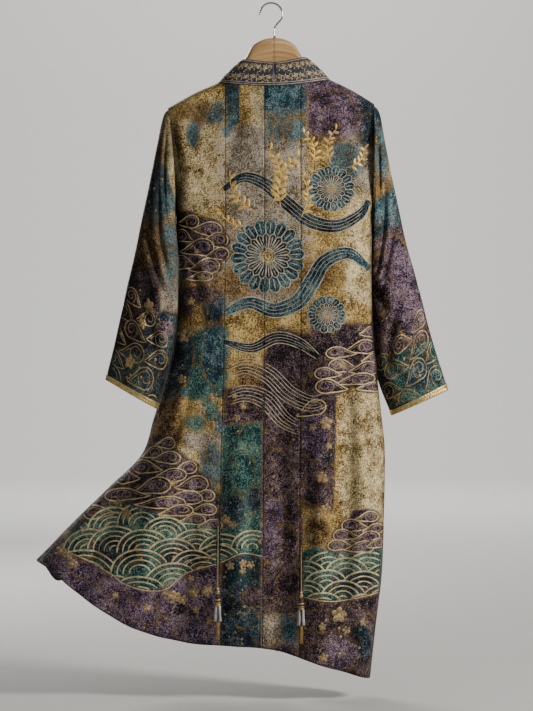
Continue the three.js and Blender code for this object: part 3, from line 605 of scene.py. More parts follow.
def tube(path, radii, sides):
    """Points and faces of a closed tube along a path, its radius given for each point."""
    path = np.asarray(path, float)
    radii = np.broadcast_to(radii, len(path))
    run = unit(np.gradient(path, axis=0))
    up = np.array((0.0, 1.0, 0.0)) if abs(run[0, 1]) < 0.8 else np.array((1.0, 0.0, 0.0))
    rings = []
    for p, d, radius in zip(path, run, radii):
        side = unit(np.cross(d, up))
        up = np.cross(side, d)
        angles = 2 * math.pi * np.arange(sides) / sides
        ring = np.outer(np.cos(angles), side) + np.outer(np.sin(angles), up)
        rings.append(p + radius * ring)
    rings = np.array(rings)
    points = np.concatenate([rings.reshape(-1, 3), path[:1] - run[:1] * radii[0] / 2,
                             path[-1:] + run[-1:] * radii[-1] / 2])
    faces = [tuple(f) for f in grid_faces(len(path), sides, True)]
    first, last = len(points) - 2, (len(path) - 1) * sides
    faces += [(first, j, (j + 1) % sides) for j in range(sides)]
    faces += [(first + 1, last + (j + 1) % sides, last + j) for j in range(sides)]
    return points, faces


def lathe(profile, sides, centre):
    """Points and faces of a solid turned about Z from a profile of (radius, height), the
    highest point first."""
    angles = 2 * math.pi * np.arange(sides) / sides
    profile = np.asarray(profile, float)
    rings = np.stack([profile[:, :1] * np.cos(angles), profile[:, :1] * np.sin(angles),
                      np.repeat(profile[:, 1:], sides, axis=1)], axis=-1)
    return rings.reshape(-1, 3) + centre, capped_faces(len(profile), sides)


def joined(parts):
    """Several (points, faces) as one."""
    points, faces, start = [], [], 0
    for part_points, part_faces in parts:
        points.append(np.asarray(part_points, float))
        faces += [tuple(i + start for i in f) for f in part_faces]
        start += len(part_points)
    return np.concatenate(points), faces


# ---- Pattern kit: flat shapes as arrays of (across, up) in millimetres ----
HILL_HEIGHT = 0.82  # of a wave hill, as a share of its half width
HILL_ARCS = 5
LINE_STEP = 3.0  # between the points of a sewn line
PETALS, PETAL_NOTCH = 5, 0.35


def turned(points, angle):
    c, s = math.cos(math.radians(angle)), math.sin(math.radians(angle))
    return points @ np.array([(c, s), (-s, c)])


def ellipse(centre, radii, turn=0, start=0, end=360, step=6):
    a = np.radians(np.arange(start, end + step / 2, step))
    return turned(np.stack([radii[0] * np.cos(a), radii[1] * np.sin(a)], axis=1), turn) + centre


def spiral(centre, radii, turn, rounds, hand, start=0):
    """A line that winds inwards from an ellipse to its middle."""
    f = np.linspace(0, 1, int(30 * rounds))
    a = math.radians(start) + hand * 2 * math.pi * rounds * f
    shrink = (1 - f) ** 0.85 * 0.92 + 0.08
    points = np.stack([radii[0] * shrink * np.cos(a), radii[1] * shrink * np.sin(a)], axis=1)
    return turned(points, turn) + centre


def in_ellipse(at, centre, radii, turn):
    """Above zero inside the ellipse, as a rough distance from its edge."""
    local = turned(at - centre, -turn)
    return (1 - np.hypot(local[..., 0] / radii[0], local[..., 1] / radii[1])) * min(radii)


def in_polygon(at, outline):
    """Distance from the edge of a polygon, above zero inside it."""
    x, z = at[..., 0], at[..., 1]
    corners = np.asarray(outline, float)
    near, odd = np.full(x.shape, np.inf), np.zeros(x.shape, bool)
    for (ax, az), (bx, bz) in zip(corners, np.roll(corners, -1, axis=0)):
        ex, ez = bx - ax, bz - az
        t = clamp01(((x - ax) * ex + (z - az) * ez) / (ex * ex + ez * ez))
        near = np.minimum(near, np.hypot(x - ax - t * ex, z - az - t * ez))
        crosses = (az > z) != (bz > z)
        odd ^= crosses & (x < ax + (z - az) / (bz - az if bz != az else 1) * ex)
    return np.where(odd, near, -near)


def resampled(path, step=LINE_STEP):
    path = np.asarray(path, float)
    far = distances(path)
    count = max(2, int(math.ceil(far[-1] / step)) + 1)
    at = np.linspace(0, far[-1], count)
    return np.stack([np.interp(at, far, path[:, 0]), np.interp(at, far, path[:, 1])], axis=1)


def runs(path, keep):
    """The stretches of a path where keep is true, of three points or more."""
    edges = np.flatnonzero(np.diff(np.concatenate([[0], keep.astype(int), [0]])))
    return [path[a:b] for a, b in zip(edges[::2], edges[1::2]) if b - a >= 3]


def stacked(shapes, keep=None):
    """The visible lines of shapes that lie over each other, the last on top. A shape is
    (paths, covers), and covers(points) is above zero where it hides what is under it."""
    found = []
    for k, (paths, _) in enumerate(shapes):
        for path in paths:
            path = resampled(path)
            seen = np.ones(len(path), bool) if keep is None else keep(path)
            for _, covers in shapes[k + 1:]:
                seen &= covers(path) <= 0
            found += runs(path, seen)
    return found


def outlines_and_insides(shapes, keep=None):
    """The visible outlines of stacked shapes, and the visible lines inside them."""
    return [stacked([(paths[part], covers) for paths, covers in shapes], keep)
            for part in (slice(0, 1), slice(1, None))]


def wave_mound(centre, radius, step, tilt):
    """One hill of sea waves: arcs inside each other, the outermost first."""
    radii = [radius - k * step for k in range(HILL_ARCS) if radius - k * step > step * 0.8]
    paths = [ellipse(centre, (r, HILL_HEIGHT * r), tilt, -6, 186, 5) for r in radii]
    return paths, lambda at: in_ellipse(at, centre, (radius, HILL_HEIGHT * radius), tilt)


def lobe_frame(points, centre, radii, turn, hand):
    """Shapes given in a lobe's own frame, a unit about its head, laid at their place."""
    head = 0.62
    points = (np.asarray(points) * (head, 1.0) + (1 - head, 0.0)) * radii * (hand, 1)
    return turned(points, turn) + centre


def bent(start, end, leaving, arriving, f):
    """A curve from start to end that leaves and arrives with the slopes given."""
    rise = end - start
    square, cube = 3 * rise - 2 * leaving - arriving, leaving + arriving - 2 * rise
    return start + leaving * f + square * f**2 + cube * f**3


def lobe_outline(centre, radii, turn, hand):
    """A cloud's lobe: a tail that rises over its back, a round head, and a low line back."""
    f = np.linspace(0, 1, 13)
    rise = bent(-0.70, 0.87, 0.60, 0.87, f)
    tail = np.stack([mix(-2.15, -0.5, f), rise], axis=1)
    a = np.radians(np.linspace(112, -110, 22))
    head = np.stack([np.cos(a), np.sin(a)], axis=1)
    low = mix(-0.96, -0.76, f) - 0.07 * np.sin(math.pi * f)
    back = np.stack([mix(-0.45, -2.05, f), low], axis=1)
    return lobe_frame(np.concatenate([tail, head, back]), centre, radii, turn, hand)


def cloud_lobe(centre, radii, turn, hand):
    """One lobe of a scrolling cloud: its outline, and inside it a scroll and a tail line."""
    centre = np.asarray(centre, float)
    outline = lobe_outline(centre, radii, turn, hand)
    f = np.linspace(0, 1, 40)
    a = np.radians(-118 - 440 * f)
    shrink = mix(0.93, 0.24, f**0.85)
    scroll = np.stack([0.06 + shrink * np.cos(a), shrink * np.sin(a)], axis=1)
    f = np.linspace(0, 1, 9)
    tail = np.stack([mix(-1.62, -0.86, f), mix(-0.60, 0.22, f**1.2)], axis=1)
    lines = [lobe_frame(line, centre, radii, turn, hand) for line in (scroll, tail)]
    return [outline] + lines, lambda at: in_polygon(at, outline[::2])


def petal_outline(centre, radius, turn):
    """The outline of a blossom too small for petals of its own."""
    a = np.radians(np.arange(0, 360, 27))
    r = radius * (1 - PETAL_NOTCH + PETAL_NOTCH * np.abs(np.cos(PETALS * a / 2)) ** 0.7)
    return turned(np.stack([r * np.cos(a), r * np.sin(a)], axis=1), turn) + centre


def leaf_outline(root, direction, long, wide, bend=0.0):
    """A pointed leaf from its root, its direction in degrees."""
    t = np.linspace(0, 1, 9)
    half = wide / 2 * np.sin(math.pi * t) ** 0.8
    spine = np.stack([long * t, bend * long * np.sin(math.pi * t / 2) * t], axis=1)
    side = np.stack([0 * t, half], axis=1)
    return turned(np.concatenate([spine + side, (spine - side)[-2:0:-1]]), direction) + root


# ---- Where patterns lie ----
def on_body(front):
    """Placing and keeping functions for shapes given by (x, z) on the back or on the fronts.
    Placing gives points of the surface and its normals."""
    def place(at):
        x, z = at[:, 0], at[:, 1]
        r = level_at(x, z, front)
        return body_point(x, r, front), body_normal(x, r, front)

    def keep(at):
        x, z = at[:, 0], at[:, 1]
        r = level_at(x, z, front)
        left_x, _, right_x, _, _ = level_ends(r)
        inside = (x > left_x + 3) & (x < right_x - 3) & (r < HEM - 0.03)
        below_top = z < top_height(x, front) - 4
        if front:
            inside &= (x < band_seam_x(r, True) - 3) | (x > band_seam_x(r, False) + 3)
        return inside & below_top

    return place, keep


def on_sleeve(table, front):
    """The same for shapes on a sleeve: how far down from the armhole, and how far across
    from its middle towards its outer edge."""
    long = sleeve_length(table)

    def width(t):
        outer_x, outer_z, inner_x, inner_z = along(table, t * (len(table) - 1)).T[:4]
        return np.hypot(outer_x - inner_x, outer_z - inner_z) / 2

    def place(at):
        t = clamp01(at[:, 0] / long)
        angle = np.arccos(np.clip(at[:, 1] / width(t), -1, 1))
        angle = 2 * math.pi - angle if front else angle
        return sleeve_point(table, t, angle), sleeve_normal(table, t, angle)

    def keep(at):
        down, across = at[:, 0], np.abs(at[:, 1])
        t = down / long
        inside = (t > 0.03) & (down < long - BRAID_HEIGHT - 2)
        return inside & (across < width(clamp01(t)) * 0.97)

    return place, keep


def on_band(stations):
    """The same for shapes on a collar band: how far along it, and how far from its seam."""
    def place(at):
        far, t = at[:, 0], at[:, 1] / band_width(stations, at[:, 0])
        return band_point(stations, far, t), band_normal(stations, far, t)

    def keep(at):
        far, across = at[:, 0], at[:, 1]
        inside = (far > 0.5) & (far < stations["far"][-1] - 2)
        return inside & (across > 1) & (across < band_width(stations, far) - 1.5)

    return place, keep


THREAD_LIFT = (0.12, 0.6)  # how far a couched thread's edges and its middle stand off the cloth
MOTIF_RINGS = ((1, 0), (0.8, 0.75), (0.45, 1))  # size and height of a domed motif's rings
MOTIF_TOP = 0.9  # height of its middle


def facing(points, normals, faces):
    """The faces, each turned to look along the normals."""
    across = points[faces[:, 2]] - points[faces[:, 0]]
    down = points[faces[:, -1]] - points[faces[:, 1]]
    against = (np.cross(across, down) * normals[faces[:, 0]]).sum(axis=1) < 0
    return np.where(against[:, None], faces[:, ::-1], faces)


def laid(flat, lift, faces, place):
    """Points and faces of flat work laid on a surface, at its heights above it."""
    if not flat:
        return np.zeros((0, 3)), []
    on_cloth, normals = place(np.concatenate(flat))
    points = on_cloth + normals * np.concatenate(lift)[:, None]
    found = []
    for corners in (4, 3):
        alike = [some for some in faces if some.shape[1] == corners]
        if alike:
            found += facing(points, normals, np.concatenate(alike)).tolist()
    return points, found


def kept(lines, keep):
    """The stretches of the lines that keep allows, all tested at once."""
    if not lines:
        return []
    lines = [resampled(line) for line in lines]
    seen = np.split(keep(np.concatenate(lines)), np.cumsum([len(line) for line in lines])[:-1])
    return [run for line, flags in zip(lines, seen) for run in runs(line, flags)]


def threads(lines, width, place, keep):
    """Points and faces of couched threads along lines: strips of two faces across, raised
    along their middle and narrow at their ends."""
    flat, lift, faces, start = [], [], [], 0
    for run in kept(lines, keep):
        n = len(run)
        taper = np.minimum(1, 0.45 + 0.3 * np.minimum(np.arange(n), np.arange(n)[::-1]))[:, None]
        half = left_of(run) * width / 2 * taper
        flat.append(np.stack([run + half, run, run - half], axis=1).reshape(-1, 2))
        lift.append(np.tile((THREAD_LIFT[0], THREAD_LIFT[1], THREAD_LIFT[0]), n))
        i = np.arange(n - 1)[:, None] * 3 + np.array((0, 1)) + start
        faces.append(np.stack([i, i + 1, i + 4, i + 3], axis=-1).reshape(-1, 4))
        start += 3 * n
    return laid(flat, lift, faces, place)


def satin(outlines, place, keep, height, base=0.15):
    """Points and faces of filled motifs, gently domed: rings shrinking to a middle."""
    flat, lift, faces, start = [], [], [], 0
    seen = keep(np.concatenate(outlines))
    seen = np.split(seen, np.cumsum([len(outline) for outline in outlines])[:-1])
    for outline, flags in zip(outlines, seen):
        if not flags.all():
            continue
        middle, n = outline.mean(axis=0), len(outline)
        rings = [middle + (outline - middle) * size for size, _ in MOTIF_RINGS]
        flat.append(np.concatenate([*rings, middle[None]]))
        lift.append(np.repeat([base + height * share for _, share in MOTIF_RINGS], n))
        lift.append([base + height * MOTIF_TOP])
        a = start + np.arange(n)
        b = start + (np.arange(n) + 1) % n
        for first in range(0, (len(rings) - 1) * n, n):
            faces.append(np.stack([a, b, b + n, a + n], axis=1) + first)
        last = (len(rings) - 1) * n
        faces.append(np.stack([a + last, b + last, 0 * a + start + last + n], axis=1))
        start += last + n + 1
    return laid(flat, lift, faces, place)


# ---- Materials ----
class Finish:
    """A material with a Principled shader, and short calls for the nodes that feed it."""

    def __init__(self, name, roughness=0.6, metallic=0.0, sheen=0.0, specular=0.4):
        self.material = bpy.data.materials.new(name)
        self.material.use_nodes = True
        self.nodes = self.material.node_tree.nodes
        self.links = self.material.node_tree.links
        self.shader = self.nodes["Principled BSDF"]
        for socket, value in (("Roughness", roughness), ("Metallic", metallic),
                              ("Sheen Weight", sheen), ("Specular IOR Level", specular)):
            self.shader.inputs[socket].default_value = value
        self.place = self.node("ShaderNodeTexCoord").outputs["Object"]

    def node(self, kind, sockets=None, **settings):
        made = self.nodes.new(kind)
        for name, value in settings.items():
            setattr(made, name, value)
        for name, value in (sockets or {}).items():
            self.feed(made.inputs[name], value)
        return made

    def feed(self, socket, value):
        if isinstance(value, bpy.types.NodeSocket):
            self.links.new(value, socket)
        else:
            socket.default_value = value

    def noise(self, scale, detail=4, roughness=0.6, at=None, distortion=0.0):
        return self.node("ShaderNodeTexNoise", {
            "Vector": self.place if at is None else at, "Scale": scale, "Detail": detail,
            "Roughness": roughness, "Distortion": distortion}).outputs["Fac"]

    def math(self, operation, a, b=0.0, c=0.0):
        made = self.node("ShaderNodeMath", operation=operation)
        for socket, value in zip(made.inputs, (a, b, c)):
            self.feed(socket, value)
        return made.outputs[0]

    def times(self, a, b):
        return self.math("MULTIPLY", a, b)

    def total(self, found, *terms):
        """A number and values times their weights, added up."""
        for value, weight in terms:
            found = self.math("MULTIPLY_ADD", value, weight, found)
        return found

    def step(self, value, low, high, out_low=0.0, out_high=1.0):
        return self.node("ShaderNodeMapRange", {
            "Value": value, "From Min": low, "From Max": high, "To Min": out_low,
            "To Max": out_high}, interpolation_type="SMOOTHSTEP").outputs["Result"]

    def ramp(self, value, stops):
        made = self.node("ShaderNodeValToRGB", {"Fac": value})
        elements = made.color_ramp.elements
        while len(elements) < len(stops):
            elements.new(0.5)
        for element, (position, colour) in zip(elements, stops):
            element.position = position
            element.color = (*colour, 1)
        return made.outputs["Color"]

    def blend(self, a, b, share):
        made = self.node("ShaderNodeMix", data_type="RGBA", clamp_factor=True)
        self.feed(made.inputs[0], share)
        for socket, value in ((made.inputs[6], a), (made.inputs[7], b)):
            self.feed(socket, value if isinstance(value, bpy.types.NodeSocket) else (*value, 1))
        return made.outputs[2]

    def value(self, name, output="Fac"):
        return self.node("ShaderNodeAttribute", attribute_name=name).outputs[output]

    def bump(self, height, strength, distance):
        bump = self.node("ShaderNodeBump", {"Height": height, "Strength": strength,
                                            "Distance": distance})
        self.links.new(bump.outputs["Normal"], self.shader.inputs["Normal"])

    def colour(self, value):
        self.feed(self.shader.inputs["Base Color"], value)


# The printed grounds: each ink's colours from its darkest to its palest mottling.
INKS = {
    "gold": [(0.062, 0.037, 0.011), (0.22, 0.132, 0.038), (0.47, 0.31, 0.085), (0.82, 0.60, 0.25)],
    "cream": [(0.10, 0.070, 0.030), (0.33, 0.235, 0.105), (0.60, 0.455, 0.21), (0.89, 0.75, 0.45)],
    "stone": [(0.050, 0.040, 0.029), (0.16, 0.127, 0.090), (0.31, 0.255, 0.185),
              (0.55, 0.47, 0.35)],
    "brown": [(0.006, 0.003, 0.001), (0.03, 0.014, 0.005), (0.12, 0.066, 0.021),
              (0.38, 0.245, 0.10)],
    "teal": [(0.001, 0.009, 0.011), (0.003, 0.040, 0.043), (0.014, 0.10, 0.095),
             (0.15, 0.27, 0.20)],
    "blue": [(0.001, 0.005, 0.011), (0.002, 0.024, 0.043), (0.010, 0.075, 0.108),
             (0.15, 0.25, 0.25)],
    "navy": [(0.0005, 0.0015, 0.003), (0.001, 0.005, 0.010), (0.005, 0.021, 0.034),
             (0.045, 0.095, 0.12)],
    "plum": [(0.0015, 0.001, 0.002), (0.006, 0.003, 0.007), (0.029, 0.016, 0.030),
             (0.19, 0.125, 0.130)],
    "violet": [(0.003, 0.0015, 0.005), (0.018, 0.009, 0.028), (0.072, 0.040, 0.092),
               (0.28, 0.20, 0.24)],
}
INK_STOPS = (0.34, 0.45, 0.55, 0.66)
BARE = "gold"  # the ground that shows where no other ink lies
PRINTED = [ink for ink in INKS if ink != BARE]
DARK_INKS = ("teal", "blue", "navy", "plum", "violet", "brown")


def robe_finish():
    """Worn metallic brocade: patches of ink with ragged edges, mottling, flecks and weave."""
    f = Finish("robe_print", roughness=0.66, sheen=0.01, specular=0.12)
    broad, middle = f.noise(26, 5, 0.62), f.noise(90, 4, 0.6)
    fine, grain = f.noise(340, 4, 0.75), f.noise(900, 2, 0.6)
    edge = f.total(-5.3, (fine, 3.6), (grain, 1.6), (broad, 2.6), (middle, 2.8))
    tone = f.total(-1.13, (broad, 0.7), (middle, 0.36), (fine, 1.7), (grain, 0.5))

    def ground(ink):
        return f.ramp(tone, list(zip(INK_STOPS, INKS[ink])))

    colour = ground(BARE)
    dark = 0.0
    for ink in PRINTED:
        share = f.step(f.math("ADD", f.value(ink), edge), -0.2, 0.2)
        colour = f.blend(colour, ground(ink), share)
        if ink in DARK_INKS:
            dark = f.math("MAXIMUM", dark, share)
    # Gold leaf left on the dark inks, and places where the pale inks are rubbed through.
    leaf = f.noise(130, 8, 0.80, distortion=0.5)
    place = f.step(broad, 0.44, 0.60)
    foil = f.times(f.times(f.step(leaf, 0.565, 0.60), place), f.times(dark, 0.8))
    gilt = f.ramp(grain, [(0.4, (0.20, 0.125, 0.045)), (0.62, (0.52, 0.38, 0.18))])
    colour = f.blend(colour, gilt, foil)
    pale = f.math("MULTIPLY_ADD", dark, -0.5, 0.5)
    colour = f.blend(colour, (0.050, 0.034, 0.022), f.times(f.step(leaf, 0.41, 0.375), pale))
    # Flecks: how many, their outer and inner edge, where they lie, how strong, and their colour.
    warm = f.ramp(f.noise(41, 2), [(0.42, (0.52, 0.37, 0.17)), (0.60, (0.42, 0.29, 0.27))])
    for scale, outer, inner, where, low, high, share, ink in (
            (380, 0.30, 0.18, middle, 0.46, 0.58, f.times(dark, 0.75), warm),
            (215, 0.26, 0.16, broad, 0.52, 0.62, f.times(dark, 0.9), warm),
            (330, 0.30, 0.14, middle, 0.56, 0.46, pale, (0.045, 0.030, 0.018))):
        cells = f.node("ShaderNodeTexVoronoi", {"Vector": f.place, "Scale": scale})
        flecks = f.times(f.step(cells.outputs["Distance"], outer, inner), f.step(where, low, high))
        colour = f.blend(colour, ink, f.times(flecks, share))
    # Darker along seams, sides, hem and sleeve folds from the "seam" values, and painted shade and
    # shadow from the "hollow" values.
    colour = f.blend(colour, (0.012, 0.009, 0.008), f.value("seam"))
    colour = f.blend(colour, (0.008, 0.006, 0.006), f.value("hollow"))
    f.colour(colour)
    f.feed(f.shader.inputs["Roughness"], f.step(tone, 0.3, 0.75, 0.78, 0.52))
    weave = f.node("ShaderNodeTexWave", {"Vector": f.place, "Scale": 260.0, "Distortion": 1.5},
                   bands_direction="Z").outputs["Fac"]
    f.bump(f.total(0, (weave, 0.25), (grain, 1), (fine, 1)), 0.55, 0.0009)
    return f.material


def lining_finish():
    f = Finish("robe_lining", roughness=0.55, sheen=0.25, specular=0.4)
    f.colour(f.ramp(f.noise(90, 4), [(0.3, (0.008, 0.006, 0.011)), (0.7, (0.026, 0.018, 0.030))]))
    f.bump(f.noise(700, 2), 0.25, 0.0006)
    return f.material


def thread_finish(name, dark, middle, bright, metallic=0.25):
    """Couched metallic thread, its colour rubbed in places."""
    f = Finish(name, roughness=0.46, metallic=metallic, specular=0.5)
    tone = f.total(0, (f.noise(110, 4, 0.65), 0.7), (f.noise(900, 2), 0.4))
    f.colour(f.ramp(tone, [(0.38, dark), (0.52, middle), (0.72, bright)]))
    f.bump(f.noise(1500, 2), 0.35, 0.0005)
    return f.material


def band_finish():
    """Dark brocade, darker still in the borders along both edges."""
    f = Finish("collar_cloth", roughness=0.6, sheen=0.1, specular=0.35)
    fine, grain = f.noise(170, 5, 0.66), f.noise(700, 3)
    tone = f.total(-0.1, (fine, 0.7), (grain, 0.5))
    colour = f.ramp(tone, [(0.34, (0.006, 0.008, 0.016)), (0.5, (0.020, 0.026, 0.046)),
                           (0.60, (0.075, 0.075, 0.10)), (0.72, (0.30, 0.24, 0.17))])
    border = f.ramp(tone, [(0.35, (0.012, 0.009, 0.016)), (0.7, (0.11, 0.08, 0.10))])
    f.colour(f.blend(colour, border, f.step(f.value("border"), 0.3, 0.7)))
    f.bump(f.math("ADD", grain, fine), 0.5, 0.0008)
    return f.material


def braid_finish():
    f = Finish("gold_braid", roughness=0.38, metallic=0.7)
    tone = f.total(0, (f.noise(200, 3), 0.6), (f.noise(1100, 2), 0.5))
    f.colour(f.ramp(tone, [(0.35, (0.20, 0.12, 0.035)), (0.55, (0.52, 0.36, 0.13)),
                           (0.75, (0.80, 0.63, 0.32))]))
    f.bump(f.noise(1300, 2), 0.4, 0.0006)
    return f.material


GRAIN_SCALE = (6.0, 150.0, 150.0)  # along the arm, and twice across it


def wood_finish():
    """Lacquered pale wood, its grain along the arms."""
    f = Finish("pale_wood", roughness=0.34, specular=0.5)
    f.shader.inputs["Coat Weight"].default_value = 0.35
    f.shader.inputs["Coat Roughness"].default_value = 0.2
    grain_at = f.node("ShaderNodeVectorMath", {0: f.value("grain", "Vector"), 1: GRAIN_SCALE},
                      operation="MULTIPLY").outputs[0]
    rings = f.noise(1.0, 6, 0.55, grain_at, 0.6)
    pores = f.noise(4.0, 2, 0.5, grain_at)
    colour = f.ramp(rings, [(0.32, (0.42, 0.225, 0.085)), (0.5, (0.60, 0.37, 0.165)),
                            (0.68, (0.74, 0.51, 0.26))])
    colour = f.blend(colour, (0.28, 0.135, 0.05), f.step(pores, 0.62, 0.74, 0, 0.4))
    f.colour(f.blend(colour, (0.20, 0.095, 0.04), f.times(f.value("joint"), 0.5)))
    f.bump(rings, 0.12, 0.0006)
    return f.material


def steel_finish():
    f = Finish("hook_steel", roughness=0.22, metallic=1.0)
    f.colour(f.ramp(f.noise(120, 3), [(0.3, (0.50, 0.50, 0.49)), (0.7, (0.72, 0.72, 0.70))]))
    f.bump(f.noise(500, 2), 0.06, 0.0003)
    return f.material


# ---- The printed ground: patches of ink painted over each other, in millimetres ----
PATCH_LAP = 2.5  # how far a straight-sided patch laps over what lies beside it
OUT_OF_INK = -2  # the least value of an ink, where nothing of it shows


def patch(ink, ragged, strength, *corners):
    """A patch with straight sides. ragged is the width of its uneven edge, strength how
    solid it is: 2 is plain, 0.3 lets much of the ground under it through."""
    return ink, ragged, strength, lambda at: in_polygon(at, corners) + PATCH_LAP


def blob(ink, ragged, strength, x, z, rx, rz, turn=0):
    """The same for an ellipse."""
    return ink, ragged, strength, lambda at: in_ellipse(at, (x, z), (rx, rz), turn)


def paint(piece, at, patches):
    """Sets how far each place is inside each ink, the last patch on top."""
    inks = {ink: np.full(at.shape[:-1], float(OUT_OF_INK)) for ink in PRINTED}
    for ink, ragged, strength, inside in patches:
        share = np.clip(inside(at) / ragged, OUT_OF_INK, strength)
        left = np.maximum(-share, OUT_OF_INK) + (2 - strength) * (share > 0)
        for other in inks:
            if other == ink:
                inks[other] = np.maximum(inks[other], share)
            else:
                inks[other] = np.minimum(inks[other], left)
    for ink, values in inks.items():
        set_values(piece, ink, values)


def rosette_ground(x, z, radius, petals, turn, squash):
    """The inks of a chrysanthemum: dark petals, a darker inner ring and a gold heart."""
    def disc(share, shift):
        def inside(at):
            away = (at - np.array((x, z))) / np.array((1, squash))
            angle = np.degrees(np.arctan2(away[..., 1], away[..., 0])) - turn + shift
            edge = radius * share * (0.9 + 0.1 * np.abs(np.cos(np.radians(angle * petals / 2))))
            return edge - np.hypot(away[..., 0], away[..., 1])
        return inside

    return [("blue", 2.5, 2, disc(1.0, 0)), ("navy", 2.5, 2, disc(0.6, 180 / petals)),
            ("blue", 4, 1.4, disc(0.42, 0)), ("gold", 2.5, 2, disc(0.2, 0))]


def stream_widths(line, half):
    """A stream's smooth line and its half width along it, narrow at both ends."""
    line = spline(line, 90)
    return line, half * (0.28 + 0.72 * np.sin(math.pi * np.linspace(0.04, 0.96, len(line))) ** 0.7)


def stream_ground(ink, points, half):
    """The ink along a stream of water."""
    line, widths = stream_widths(points, half)

    def inside(at):
        best = np.full(at.shape[:-1], -50.0)
        for place, wide in zip(line, widths):
            best = np.maximum(best, wide - np.hypot(at[..., 0] - place[0], at[..., 1] - place[1]))
        return best

    return ink, 2.0, 2, inside


def lobe_ground(lobes):
    """Dark between the lobes of a cloud, and violet in their heads."""
    dark = [blob("plum", 5.0, 1.2, x, z, rx * 1.2, rz * 1.35, tilt)
            for (x, z), (rx, rz), tilt, _ in lobes]
    heads = [blob("violet", 3.0, 1.4, x + 0.34 * hand * rx, z, rx * 0.5, rz * 0.66, tilt)
             for (x, z), (rx, rz), tilt, hand in lobes]
    return dark + heads


KIKU = [  # x, z, radius, petals, turn, squash
    (-8, -545, 80, 18, 4, 1.0), (128, -400, 51, 16, 9, 0.98), (118, -669, 42, 14, 3, 0.96),
]
STREAMS = [  # ink, line and half width
    ("navy", [(-97, -398), (-58, -376), (-12, -392), (34, -432), (84, -470), (140, -480),
              (188, -456), (206, -430)],
     15),
    ("blue", [(206, -566), (164, -538), (114, -556), (86, -600), (56, -642), (6, -660),
              (-46, -644), (-97, -664)],
     17),
    ("navy", [(98, -758), (60, -730), (12, -718), (-42, -740), (-97, -728)], 12),
]
# Cloud lobes on the back: middle, radii, turn and hand, the last on top.
LEFT_CLOUDS = [
    ((-226, -941), (22, 12), -8, 1), ((-256, -962), (24, 12), 6, 1),
    ((-224, -971), (32, 13), -6, 1),
    ((-184, -993), (26, 13), -4, 1), ((-262, -992), (34, 14), 6, -1),
    ((-218, -1008), (38, 14), -2, 1),
    ((-306, -1014), (28, 14), 12, -1), ((-170, -1027), (36, 17), -5, 1),
    ((-254, -1031), (42, 17), 3, 1),
    ((-146, -1052), (26, 12), -8, 1), ((-304, -1050), (52, 13), 8, -1),
    ((-190, -1056), (44, 14), -6, 1),
    ((-366, -1088), (36, 14), 12, -1), ((-238, -1066), (56, 13), -3, 1),
    ((-146, -1082), (30, 12), -6, 1),
    ((-204, -1084), (38, 12), -2, 1), ((-170, -1104), (30, 11), -4, 1),
    ((-132, -1115), (28, 12), -6, 1),
]
UPPER_CLOUDS = [
    ((-178, -468), (24, 14), -14, 1), ((-138, -484), (34, 16), -16, 1),
    ((-184, -500), (22, 13), -8, -1),
    ((-122, -508), (30, 16), -10, 1), ((-160, -524), (38, 18), -4, 1),
    ((-116, -538), (26, 13), -6, 1),
    ((-184, -556), (26, 15), 4, -1), ((-144, -564), (34, 16), -4, 1),
    ((-154, -587), (30, 10), -2, 1),
]
RIGHT_CLOUDS = [
    ((208, -704), (22, 12), -6, 1), ((190, -736), (34, 15), -4, 1), ((150, -748), (34, 12), 8, -1),
    ((214, -762), (24, 12), -6, 1), ((156, -777), (34, 14), 3, -1), ((196, -782), (34, 14), -3, 1),
    ((122, -792), (30, 12), 8, -1), ((176, -806), (46, 12), 2, 1), ((130, -820), (36, 15), 5, -1),
    ((208, -822), (30, 10), -4, 1), ((82, -868), (34, 16), 10, 1),
]
LOW_CLOUDS = [
    ((202, -1098), (26, 11), -4, 1), ((180, -1116), (30, 13), 6, -1),
    ((216, -1124), (24, 11), -5, 1),
    ((160, -1136), (28, 12), 8, -1), ((200, -1142), (32, 13), -3, 1),
    ((150, -1158), (30, 11), 5, -1),
    ((186, -1162), (34, 12), -2, 1), ((222, -1156), (22, 10), 0, 1),
]
# The bands of sea waves: their outlines.
LEFT_SEA = [(-462, -1178), (-444, -1150), (-402, -1112), (-353, -1073), (-300, -1070),
            (-257, -1084),
            (-180, -1104), (-104, -1124), (-19, -1118), (-19, -1182), (-64, -1176), (-104, -1194),
            (-181, -1220),
            (-217, -1249), (-251, -1256), (-310, -1239), (-342, -1216), (-420, -1178)]
RIGHT_SEA = [(66, -1176), (96, -1164), (125, -1172), (160, -1180), (196, -1170), (236, -1158),
             (232, -1262), (180, -1272), (138, -1278), (100, -1274), (66, -1268)]
FRONT_SEA = [(-462, -1176), (-420, -1128), (-353, -1090), (-257, -1100), (-130, -1130),
             (-60, -1140),
             (-60, -1262), (-150, -1266), (-251, -1262), (-342, -1226), (-420, -1190)]
FRONT_RIGHT_SEA = [(60, -1150), (120, -1166), (180, -1160), (240, -1146), (236, -1268), (60, -1276)]

